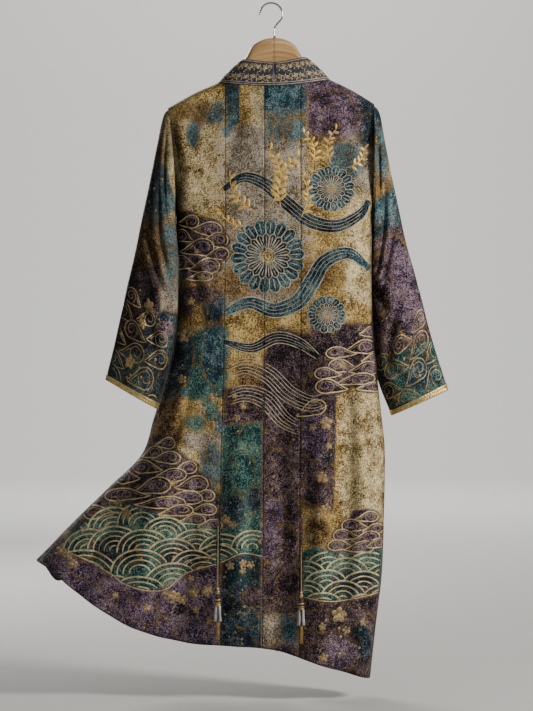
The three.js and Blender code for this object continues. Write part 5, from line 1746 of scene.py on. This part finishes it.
def clouds(lobes, place, keep, width=CLOUD_THREAD):
    """Threads of a heap of lobes, the last on top: their outlines, and finer lines inside."""
    outlines, insides = outlines_and_insides([cloud_lobe(*lobe) for lobe in lobes])
    return threads(outlines, width, place, keep), threads(insides, 0.64 * width, place, keep)


def hill_rows(edge, spacing, row_height, radius, step):
    """Staggered rows of wave hills over the box of an edge, the top row first."""
    edge = np.array(edge, float)
    (low_x, low_z), (high_x, high_z) = edge.min(axis=0), edge.max(axis=0)
    found = []
    row = 0
    z = high_z + 6
    while z > low_z - radius:
        x = low_x - spacing * (0.3 + 0.5 * (row % 2))
        while x < high_x + spacing:
            wobble = 5 * math.sin(2.1 * row + 0.031 * x)
            tilt = 4 * math.sin(0.7 * row + 0.02 * x)
            found.append((x + wobble, z - 0.7 * radius + 0.6 * wobble, radius, step, tilt))
            x += spacing
        z -= row_height
        row += 1
    return found


def water_lines(line, offsets, swell):
    """Parallel lines of flowing water at several distances to one side of a smooth line."""
    line = spline(line, 120)
    side = left_of(line)
    t = np.linspace(0, 1, len(line))[:, None]
    grow = 1 + swell * np.sin(math.pi * t)
    return [(line + side * offset * grow)[4 + 5 * (k % 3):len(line) - 3 * ((k * 7) % 5) - 2]
            for k, offset in enumerate(offsets)]


KIKU_RINGS = ((0.46, 1.0, 0.0), (0.20, 0.62, 0.5))  # inner and outer end of the petals, shift
KIKU_HEART = (0.2, 0.14, 0.07)
KIKU_COVER = 0.60  # how far the inner ring hides the outer one


def kiku_lines(centre, radius, petals, turn, squash):
    """A chrysanthemum: two rings of petals with midribs, the inner over the outer, and its
    heart."""
    centre, squashed = np.asarray(centre, float), np.array((1.0, squash))
    s = np.linspace(0, 1, 14)
    swell = np.sqrt(clamp01(s * 1.35)) * np.sqrt(clamp01((1 - s) * 3.2))
    cover = radius * KIKU_COVER * squashed
    found = []
    for inner, outer, shift in KIKU_RINGS:
        run = radius * mix(inner, outer, s)
        half = 2 * math.pi * outer * radius / petals * 0.46 * swell
        outline = np.concatenate([np.stack([run, half], axis=1),
                                  np.stack([run, -half], axis=1)[::-1]])
        rib = radius * mix(inner, outer, np.linspace(0.12, 0.82, 6))
        for k in range(petals):
            for path in (outline, np.stack([rib, 0 * rib], axis=1)):
                path = turned(path, turn + 360 * (k + shift) / petals) * squashed + centre
                path = resampled(path, 2.4)
                is_outer = outer == 1
                found += runs(path, in_ellipse(path, centre, cover, 0) <= 0) if is_outer else [path]
    return found + [resampled(ellipse(centre, radius * share * squashed, step=12), 2.4)
                    for share in KIKU_HEART]


def blossom_parts(x, z, radius, turn):
    """Round petals about a middle, and the middle."""
    centre = np.array((x, z), float)
    found = []
    for k in range(PETALS):
        a = math.radians(turn + 360 * k / PETALS)
        at = centre + 0.58 * radius * np.array((math.cos(a), math.sin(a)))
        found.append(ellipse(at, (0.43 * radius, 0.36 * radius), math.degrees(a), 0, 348, 24))
    return found, ellipse(centre, (0.2 * radius, 0.2 * radius), 0, 0, 340, 40)


def whole(blossoms):
    """The petals and hearts of blossoms in one list."""
    return [part for petals, heart in blossoms for part in (*petals, heart)]


def sprig(root, direction, long, leaves, size, hand=1):
    """A curved stem with leaves on both sides: its line and the leaves' outlines."""
    t = np.linspace(0, 1, 20)
    bend = hand * 0.22 * long * np.sin(math.pi * t * 0.9)
    stem = turned(np.stack([long * t, bend], axis=1), direction) + root
    outlines = []
    for k in range(leaves):
        i = int(3 + (len(t) - 4) * k / leaves)
        way = math.degrees(math.atan2(*(stem[i + 1] - stem[i - 1])[::-1]))
        side = 1 if k % 2 else -1
        outlines.append(leaf_outline(stem[i], way + side * 48, size * (1 - 0.35 * t[i]),
                                     size * 0.34, 0.1 * side))
    outlines.append(leaf_outline(stem[-1], direction + 10 * hand, size * 0.8, size * 0.28))
    return stem, outlines


def scatter(rng, count, inside, low, high, size):
    """Outlines of small blossoms at random places inside a region."""
    at = rng.uniform(low, high, (count * 4, 2))
    at = at[inside(at)][:count]
    return [petal_outline(place, rng.uniform(*size), rng.uniform(0, 72)) for place in at]


def stitched(name, parts, material):
    """Makes one piece from several sets of threads or motifs."""
    points, faces = joined([part for part in parts if len(part[1])])
    BODY[name] = new_piece(name, points, faces, [material])


CORD_CLEAR = {"side": 3.2, "above": 3, "below": 112}
SEAM_CLEAR = 0.6
BACK_PLACE, BACK_KEEP_ALL = on_body(False)
FRONT_PLACE, FRONT_KEEP = on_body(True)


def clear_of_cords(at):
    """Away from where the tassels hang."""
    x, z = at[..., 0], at[..., 1]
    near = np.full(x.shape, False)
    for cord_x, top, end in TASSELS.values():
        near |= ((np.abs(x - cord_x) < CORD_CLEAR["side"]) & (z < top + CORD_CLEAR["above"])
                 & (z > end - CORD_CLEAR["below"]))
    return ~near


def back_keep(at):
    """On the back, and clear of its seams and of the tassels."""
    r = level_at(at[..., 0], at[..., 1], False)
    off_seams = seam_distance(at[..., 0], r) > SEAM_CLEAR
    return BACK_KEEP_ALL(at) & clear_of_cords(at) & off_seams


def open_water(at):
    """Kept, and not under a chrysanthemum."""
    clear = back_keep(at)
    for x, z, radius, _, _, squash in KIKU:
        clear &= in_ellipse(at, (x, z), (radius + 2, (radius + 2) * squash), 0) < 0
    return clear


LEFT_HILLS = [  # x and z of the middle, half width, spacing of the lines, tilt; the lowest on top
    (-440, -1160, 66, 12, 20), (-335, -1126, 56, 12, 8), (-272, -1112, 54, 12, 0),
    (-225, -1136, 46, 11, -4),
    (-160, -1171, 54, 12, 0), (-101, -1180, 54, 12, 0), (-40, -1164, 44, 11, 0),
    (-434, -1198, 76, 13, 16),
    (-388, -1172, 56, 12, 10), (-330, -1168, 60, 12, 4), (-270, -1170, 56, 12, 0),
    (-211, -1192, 57, 12, 0),
    (-113, -1202, 54, 12, 0), (-166, -1212, 50, 12, 0), (-402, -1240, 86, 13, 6),
    (-278, -1216, 61, 13, 2),
    (-142, -1226, 50, 12, 0), (-61, -1218, 46, 12, 0), (-210, -1247, 60, 13, 0),
    (-338, -1270, 60, 13, 4),
    (-282, -1274, 62, 13, 0), (-158, -1262, 50, 12, 0),
]
RIGHT_HILLS = [
    (120, -1210, 46, 13, 0), (206, -1216, 50, 13, 0), (74, -1228, 44, 13, 0),
    (160, -1226, 48, 13, 0),
    (240, -1240, 46, 13, 0), (116, -1250, 48, 13, 0), (196, -1256, 50, 13, 0),
    (76, -1268, 42, 12, 0),
    (152, -1276, 50, 13, 0), (236, -1284, 46, 13, 0), (108, -1296, 46, 13, 0),
    (196, -1302, 46, 13, 0),
]
BLOSSOMS = [  # x, z, radius, turn
    (-447, -1172, 12, 10), (-432, -1182, 10, 40), (-421, -1198, 11, 22), (-326, -1071, 10, 30),
    (-308, -1092, 12, 12), (-206, -1026, 9, 8), (-97, -1104, 11, 25), (-82, -1114, 9, 60),
    (-166, -1259, 13, 14),
    (-136, -1256, 13, 50), (-206, -1270, 14, 33), (-188, -1277, 11, 0), (-222, -1262, 9, 20),
    (-264, -1291, 9, 20),
    (-171, -1231, 8, 44), (-87, -1201, 10, 28), (-60, -1197, 9, 20), (-44, -1200, 9, 56),
    (-60, -1212, 8, 40),
    (144, -1307, 17, 12), (108, -1330, 9, 24), (110, -1396, 11, 24), (74, -1105, 10, 18),
    (100, -1092, 13, 40),
    (116, -1080, 11, 5), (79, -1139, 10, 30), (116, -900, 14, 16), (88, -908, 8, 58),
    (122, -948, 8, 33),
    (106, -1014, 12, 20), (-186, -714, 15, 12), (-172, -708, 9, 40), (-190, -806, 10, 28),
    (-171, -640, 9, 12),
    (-124, -846, 12, 50), (-150, -872, 13, 26), (-122, -904, 10, 44), (-60, -862, 9, 22),
    (-78, -842, 7, 5),
    (-74, -888, 8, 50), (160, -1340, 9, 33), (196, -1324, 8, 14), (150, -776, 9, 20),
    (-148, -590, 8, 20),
    (-160, -1296, 8, 27), (-130, -1318, 8, 4), (-330, -1262, 8, 36),
]
SPRAYS = [  # root, direction, length, leaves, size of a leaf, and the side to which it bends
    ((-30, -452), 118, 110, 12, 22, 1), ((-6, -446), 92, 128, 14, 22, -1),
    ((22, -448), 70, 120, 13, 22, 1), ((60, -470), 96, 110, 12, 19, -1),
    ((-52, -480), 146, 66, 8, 18, 1), ((88, -350), 108, 70, 9, 18, -1),
    ((128, -346), 78, 74, 9, 18, 1), ((160, -356), 52, 60, 8, 17, -1),
]
WATER_OFFSETS = (-13, -8, -3, 3, 8, 13)
WATER = [
    [(-97, -792), (-52, -778), (-4, -798), (38, -838), (84, -858), (118, -848)],
    [(-97, -850), (-56, -836), (-12, -850), (26, -892), (62, -912)],
]
back_threads, sea_threads, cream_threads, bright_parts = [], [], [], []
for hills, edge in ((LEFT_HILLS, LEFT_SEA), (RIGHT_HILLS, RIGHT_SEA)):
    sea_threads += sea(hills, edge, BACK_PLACE, back_keep)
shores = [spline(LEFT_SEA[9:] + LEFT_SEA[:1], 160), spline(RIGHT_SEA[6:], 80)]
sea_threads.append(threads(shores, SHORE_THREAD, BACK_PLACE, back_keep))
for lobes in (LEFT_CLOUDS, UPPER_CLOUDS, RIGHT_CLOUDS, LOW_CLOUDS):
    outlines, insides = clouds(lobes, BACK_PLACE, back_keep)
    sea_threads.append(outlines)
    back_threads.append(insides)
for x, z, radius, petals, turn, squash in KIKU:
    lines = kiku_lines((x, z), radius, petals, turn, squash)
    cream_threads.append(threads(lines, 1.0 + 0.011 * radius, BACK_PLACE, back_keep))
for line in WATER:
    lines = water_lines(line, WATER_OFFSETS, 0.4)
    cream_threads.append(threads(lines, 1.6, BACK_PLACE, open_water))
for number, (_, line, half) in enumerate(STREAMS):
    line, widths = stream_widths(line, half)
    aside = left_of(line) * widths[:, None]
    over = [stream_ground(*other)[3] for other in STREAMS[number + 1:]]

    def open_stream(at, over=over):
        clear = open_water(at)
        for inside in over:
            clear &= inside(at) < 0
        return clear

    cream_threads.append(threads([line + aside, line - aside], 2.0, BACK_PLACE, open_stream))
    inner = [(line + aside * share)[5 + 4 * k:len(line) - 14 + 4 * k]
             for k, share in enumerate((-0.5, 0, 0.5))]
    cream_threads.append(threads(inner, 1.1, BACK_PLACE, open_stream))
blossoms = [blossom_parts(*place) for place in BLOSSOMS]
hearts = [heart for _, heart in blossoms]
for root, *spray in SPRAYS:
    stem, outlines = sprig(np.array(root, float), *spray)
    bright_parts.append(threads([stem], 1.9, BACK_PLACE, back_keep))
    bright_parts.append(satin(outlines, BACK_PLACE, back_keep, 0.8))
rng = np.random.default_rng(5)
flecks = scatter(rng, 110, back_keep, (-440, -1440), (240, -1130), (1.6, 3.4))
flecks += scatter(rng, 70, back_keep, (-240, -1130), (236, -700), (1.5, 3.0))
gold_motifs = [satin([petal for petals, _ in blossoms for petal in petals], BACK_PLACE, back_keep,
                     0.8),
               satin(flecks, BACK_PLACE, back_keep, 0.4)]
stitched("robe_gold_lines", back_threads, GOLD_THREAD)
stitched("robe_sea_lines", sea_threads, SEA_THREAD)
stitched("robe_cream_lines", cream_threads, CREAM_THREAD)
stitched("robe_bright_sprays", bright_parts, BRIGHT_THREAD)
stitched("robe_gold_motifs", gold_motifs, GOLD_THREAD)
stitched("robe_pale_motifs", [satin(hearts, BACK_PLACE, back_keep, 0.9, 0.5)], CREAM_THREAD)

# The fronts.
front_threads = []
for edge, hills in ((FRONT_SEA, (96, 36, 64, 12)), (FRONT_RIGHT_SEA, (84, 36, 56, 13))):
    front_threads += sea(hill_rows(edge, *hills), edge, FRONT_PLACE, FRONT_KEEP)
for lobes in (LEFT_CLOUDS, UPPER_CLOUDS, RIGHT_CLOUDS):
    front_threads += clouds(lobes, FRONT_PLACE, FRONT_KEEP)
stitched("front_gold_lines", front_threads, GOLD_THREAD)
stitched("front_gold_motifs", [satin(whole(blossoms), FRONT_PLACE, FRONT_KEEP, 0.8)], GOLD_THREAD)

# The sleeves.
SLEEVE_CLOUDS = {  # middle, down and across, then radii, turn and hand
    "left": [((372, 44), (20, 12), 92, 1), ((392, 10), (22, 12), 86, -1),
             ((398, 56), (26, 13), 94, 1),
             ((414, -22), (24, 13), 88, -1), ((420, 24), (28, 14), 90, 1),
             ((436, 62), (24, 13), 96, 1),
             ((446, -30), (26, 15), 88, -1), ((452, 26), (30, 15), 92, -1),
             ((474, 58), (28, 14), 90, 1),
             ((484, -6), (30, 17), 86, -1), ((506, 46), (34, 19), 94, 1),
             ((520, -34), (32, 20), 90, -1),
             ((546, 26), (36, 20), 88, 1), ((562, -44), (30, 18), 92, -1),
             ((582, 54), (32, 17), 90, 1),
             ((594, -8), (34, 19), 90, -1)],
    "right": [((436, 52), (22, 12), 88, 1), ((446, 6), (26, 13), 92, -1),
              ((452, -44), (24, 12), 90, -1),
              ((466, 38), (30, 14), 94, 1), ((474, -22), (30, 14), 88, -1),
              ((488, 64), (22, 12), 90, 1),
              ((498, 12), (32, 15), 92, 1), ((502, -46), (26, 13), 86, -1),
              ((520, 46), (28, 14), 90, 1),
              ((528, -12), (30, 14), 88, -1)],
}
SLEEVE_BLOSSOMS = {
    "left": [(372, 8, 13, 10), (470, 24, 12, 30), (404, 14, 9, 50), (548, 52, 10, 12),
             (540, -62, 9, 26)],
    "right": [(546, 20, 11, 15), (566, -24, 10, 40), (588, 44, 10, 5), (184, 36, 10, 22),
              (206, -12, 8, 52)],
}
for side, table in SLEEVES.items():
    lines, motifs = [], []
    for front in (False, True):
        place, keep = on_sleeve(table, front)
        lines += clouds(SLEEVE_CLOUDS[side], place, keep, SLEEVE_CLOUD_THREAD)
        found = [blossom_parts(*blossom) for blossom in SLEEVE_BLOSSOMS[side]]
        motifs.append(satin(whole(found), place, keep, 0.8))
        rng = np.random.default_rng(21)
        flecks = scatter(rng, 44, keep, (30, -100), (640, 100), (1.5, 3.0))
        motifs.append(satin(flecks, place, keep, 0.4))
    stitched("sleeve_lines_" + side, lines, GOLD_THREAD)
    stitched("sleeve_motifs_" + side, motifs, GOLD_THREAD)


# ---- Collar bands ----
BANDS = {"left": band_stations(True), "right": band_stations(False)}
BORDER_WIDTH = 7.5
SEAM_LINES, EDGE_LINE = (3.0, 7.2), 3.0  # cream lines: how far from the seam, and from the edge
VINE = {"swing": 4.5, "length": 36, "between": 18}
SCROLL = {"radii": (6.2, 5.6), "rounds": 1.2, "aside": 2.5}
BUD = {"along": 8.8, "aside": 2.0, "radius": 4.0}
LEAF = {"turns": (40, 110, 200, 290), "root": 6.0, "long": 6.2, "wide": 2.5, "bend": 0.12}

for side, stations in BANDS.items():
    name = "collar_band_" + side
    far = np.linspace(0, stations["far"][-1], 380)
    t = 1 - (1 - np.linspace(0, 1, 15)) ** 1.3
    at_far, at_t = np.meshgrid(far, t, indexing="ij")
    grid = band_point(stations, at_far, at_t)
    out = band_vector(stations, "normal", far)[:, None]
    BODY[name] = shell(name + "_cloth", grid, BAND_WALL, lambda normals: (normals * out).sum(-1),
                       [BAND, LINING], [name])
    edge = np.minimum(at_t, 1 - at_t) * band_width(stations, far)[:, None]
    set_values(BODY[name], "border", np.tile((edge < BORDER_WIDTH).ravel().astype(float), 2))


def vine_middle(stations, far, row):
    """The middle of one of a band's two vines, row -1 or 1, as a distance from the seam."""
    wide = band_width(stations, far)
    return (SEAM_LINES[1] + wide - EDGE_LINE) / 2 + row * (wide - 10) / 4


# The collar's vine scrolls and borders.
for side, stations in BANDS.items():
    place, keep = on_band(stations)
    long = stations["far"][-1]
    far = np.arange(1, long - 2, LINE_STEP)
    cream = [np.stack([far, across + 0 * far], axis=1) for across in SEAM_LINES]
    cream.append(np.stack([far, band_width(stations, far) - EDGE_LINE], axis=1))
    gold, motifs = [], []
    for row in (-1, 1):
        vine = np.arange(0, long, 2.0)
        swing = VINE["swing"] * np.sin(2 * math.pi * vine / VINE["length"] + row)
        gold.append(np.stack([vine, vine_middle(stations, vine, row) + swing], axis=1))
        for k, far in enumerate(np.arange(6.0 + 4 * row, long - 10, VINE["between"])):
            hand = 1 if k % 2 else -1
            across = float(vine_middle(stations, far, row)) - hand * SCROLL["aside"]
            centre = np.array((far, across))
            gold.append(spiral(centre, SCROLL["radii"], 0, SCROLL["rounds"], hand, 90 * hand))
            bud = blossom_parts(far + BUD["along"], across + hand * BUD["aside"], BUD["radius"],
                                20 * k)
            motifs += [outline[::2] for outline in whole([bud])]
            for turn in LEAF["turns"]:
                root = centre + turned(np.array([(LEAF["root"], 0.0)]), turn)[0]
                motifs.append(leaf_outline(root, turn + hand * 50, LEAF["long"], LEAF["wide"],
                                           LEAF["bend"])[::2])
    lines = threads(gold, 1.25, place, keep)
    stitched("collar_gold_" + side, [lines, satin(motifs, place, keep, 0.5)], SEA_THREAD)
    stitched("collar_cream_" + side, [threads(cream, 1.5, place, keep)], CREAM_THREAD)

# ---- Hem rolls ----
HEM_ROLL_RADIUS = 1.25
HEM_ROLLS = {  # whether in front, and the edges that it runs between
    "hem_roll_back": (False, side_left, side_right),
    "hem_roll_front_left": (True, side_left, band_edge(True)),
    "hem_roll_front_right": (True, band_edge(False), side_right),
}
for name, (front, *edges) in HEM_ROLLS.items():
    left_x, right_x = (edge(np.array([HEM]))[0] for edge in edges)
    x = np.linspace(left_x, right_x, int((right_x - left_x) / 4))
    hem = np.full(x.shape, float(HEM))
    line = body_point(x, hem, front) - body_normal(x, hem, front) * CLOTH_WALL / 2
    points, faces = tube(line, HEM_ROLL_RADIUS, 8)
    BODY[name] = new_piece(name, points, faces, [LINING])

# ---- Cuff braids ----
BRAID_TWISTS, BRAID_SLANT = 60, 1.6
for side, table in SLEEVES.items():
    v, turn = np.linspace(0, 1, 15), np.linspace(0, 2 * math.pi, 421)[:-1]
    at_v, at_turn = np.meshgrid(v, turn, indexing="ij")
    t = mix(1 - BRAID_HEIGHT / sleeve_length(table), 1, at_v)
    roll = np.abs(np.sin(2 * math.pi * at_v)) ** 0.6
    hand = np.where(at_v < 0.5, 1, -1)
    slant = hand * 2 * math.pi * at_v * BRAID_SLANT
    twist = 0.5 + 0.5 * np.cos(BRAID_TWISTS * at_turn + slant)
    proud = 0.35 + 0.75 * roll * (0.35 + 0.65 * twist)
    grid = sleeve_point(table, t, at_turn) + sleeve_normal(table, t, at_turn) * proud[..., None]
    middle = grid.mean(axis=1, keepdims=True)
    name = "cuff_braid_" + side
    BODY[name] = shell(name + "_rope", grid, CLOTH_WALL + 0.9,
                       lambda normals: ((grid - middle) * normals).sum(-1), [BRAID, BRAID],
                       [name], True)

# ---- Hanger and hook ----
HANGER_CENTRE = np.array((6.5, -73.0))
HANGER_SECTIONS = [  # distance from the centre, top, half height
    (0, -73, 38), (14, -74, 38), (26, -77.5, 37), (38, -83.5, 35),
    (48, -92.5, 32), (60, -114, 25), (73, -140, 17), (94, -159, 14),
]
HANGER_NECK = 122
HANGER_REACH = {-1: 206, 1: 201}
HANGER_ARM_HALF, HANGER_DEPTH, HANGER_REST = 12.5, 12, 0.8
HANGER_EASE = (2.2, 30)
HANGER_SIDES = 40
WIRE_RADIUS, LOOP_RADIUS = 2.2, 24
HOOK_TIP = [(0, 2.6), (1.5, 2.3), (2.4, 1.2), (2.6, 0), (2.4, -1.2), (1.5, -2.3), (0, -2.6)]
FERRULE = [(0, 3.2), (2.6, 3.1), (3.3, 2.4), (3.5, 1), (4.6, 0.2), (4.8, -0.8), (0, -0.8)]


def hanger_rows(side):
    """The wood's sections from its centre to one end: x, middle height, half height, half depth."""
    rows = [(HANGER_CENTRE[0] + side * out, top - half, half, HANGER_DEPTH)
            for out, top, half in HANGER_SECTIONS]
    reach = HANGER_REACH[side]
    ends = [(mix(HANGER_NECK, reach - 10, f), 1) for f in (0, 0.3, 0.6, 0.88)]
    for out, shrink in ends + [(reach - 6, 0.93), (reach - 2, 0.7), (reach, 0.3)]:
        x = HANGER_CENTRE[0] + side * out
        extra = HANGER_EASE[0] * (1 - smooth((out - HANGER_NECK) / HANGER_EASE[1]))
        top = float(top_height(np.array([x]), True)[0]) - CLOTH_WALL - HANGER_REST - extra
        rows.append((x, top - HANGER_ARM_HALF, HANGER_ARM_HALF * shrink, HANGER_DEPTH * shrink))
    return rows


rows = np.array(hanger_rows(-1)[:0:-1] + hanger_rows(1))
rows = spline(rows, 4 * len(rows) - 3)
angles = 2 * math.pi * np.arange(HANGER_SIDES) / HANGER_SIDES
round_y = np.sign(np.cos(angles)) * np.abs(np.cos(angles)) ** 0.86
round_z = np.sign(np.sin(angles)) * np.abs(np.sin(angles)) ** 0.94
rings = np.stack([np.repeat(rows[:, :1], HANGER_SIDES, axis=1), rows[:, 3:] * round_y,
                  rows[:, 1:2] + rows[:, 2:3] * round_z], axis=-1)
faces = [f[::-1] for f in capped_faces(len(rings), HANGER_SIDES)]
wood = new_piece("hanger_wood_turned", rings.reshape(-1, 3), faces, [WOOD],
                 ["hanger_wood"])
# The grain follows the arms as they slope.
grain = wood.data.attributes.new("grain", "FLOAT_VECTOR", "POINT")
straight = rings.copy()
straight[..., 2] -= rows[:, None, 1] * 0.8
straight[..., 0] += np.sign(straight[..., 0]) * np.abs(rows[:, None, 1]) * 0.3
grain.data.foreach_set("vector", (straight * MM).reshape(-1).astype(np.float32))
set_values(wood, "joint", bell(rings[..., 0] - HANGER_CENTRE[0], 0.9))

middle = WIRE_RADIUS - LOOP_RADIUS
angles = np.radians(np.arange(168, -31, -22))
hook = [(-LOOP_RADIUS - 1, 0, middle + 1)]
hook += [(LOOP_RADIUS * math.cos(a), 0, middle + LOOP_RADIUS * math.sin(a)) for a in angles]
hook += [(13.5, 0, middle - 20.5), (7.2, 0, middle - 29), (6.5, 0, middle - 37),
         (HANGER_CENTRE[0], 0, HANGER_CENTRE[1] - 1)]
wire = tube(spline(hook, 150), WIRE_RADIUS * 0.97, 20)
tip = lathe(HOOK_TIP, 20, np.array(hook[0]))
ferrule = lathe(FERRULE, 28, np.array((HANGER_CENTRE[0], 0, HANGER_CENTRE[1] + 0.6)))
points, faces = joined([wire, tip, ferrule])
new_piece("hanger_hook_wire", points, faces, [STEEL], ["hanger_hook"])

# ---- Floor and light ----
stage_material = bpy.data.materials.new("studio_floor")
stage_material.use_nodes = True
stage_shader = stage_material.node_tree.nodes["Principled BSDF"]
stage_shader.inputs["Base Color"].default_value = (0.62, 0.61, 0.585, 1)
stage_shader.inputs["Roughness"].default_value = 0.9
# A floor that curves up into a wall far behind, in millimetres.
FLOOR_Z, WALL_Y, WALL_TOP, CURVE, HALF_WIDE, NEAR_Y = -1490, 11500, 9000, 2600, 18000, -18000
profile = [(NEAR_Y, FLOOR_Z)]
profile += [(WALL_Y - CURVE + CURVE * math.sin(a), FLOOR_Z + CURVE - CURVE * math.cos(a))
            for a in np.linspace(0, math.pi / 2, 24)]
profile.append((WALL_Y, WALL_TOP))
points = [(x * MM, y * MM, z * MM) for y, z in profile for x in (-HALF_WIDE, HALF_WIDE)]
faces = [(2 * i, 2 * i + 1, 2 * i + 3, 2 * i + 2) for i in range(len(profile) - 1)]
mesh = bpy.data.meshes.new("studio_floor")
mesh.from_pydata(points, [], faces)
mesh.polygons.foreach_set("use_smooth", np.ones(len(mesh.polygons), bool))
mesh.materials.append(stage_material)
floor = bpy.data.objects.new("studio_floor", mesh)
bpy.context.scene.collection.objects.link(floor)


def area_light(name, location, target, size, energy, colour):
    """A round lamp at a place in metres, turned to its target."""
    data = bpy.data.lights.new(name, "AREA")
    data.shape, data.size, data.energy, data.color = "DISK", size, energy, colour
    light = bpy.data.objects.new(name, data)
    light.location = location
    way = np.array(target) - np.array(location)
    flat = math.hypot(way[0], way[1])
    light.rotation_euler = (math.atan2(flat, -way[2]), 0, math.atan2(-way[0], way[1]))
    bpy.context.scene.collection.objects.link(light)


area_light("key", (2.6, -1.5, 0.55), (0, 0, -0.65), 0.9, 112, (1.0, 0.965, 0.92))
area_light("fill", (-2.6, -2.8, -0.2), (0, 0, -0.8), 2.4, 9, (0.90, 0.94, 1.0))
area_light("behind", (-1.5, 2.9, 0.7), (0, 0, -0.7), 1.6, 75, (1, 0.985, 0.96))
area_light("backdrop", (0, 5.6, 4.2), (0, 11.0, -1.2), 4.0, 620, (1, 1, 1))
world = bpy.data.worlds.new("studio")
world.use_nodes = True
world.node_tree.nodes["Background"].inputs["Color"].default_value = (0.80, 0.82, 0.85, 1)
world.node_tree.nodes["Background"].inputs["Strength"].default_value = 0.17
bpy.context.scene.world = world
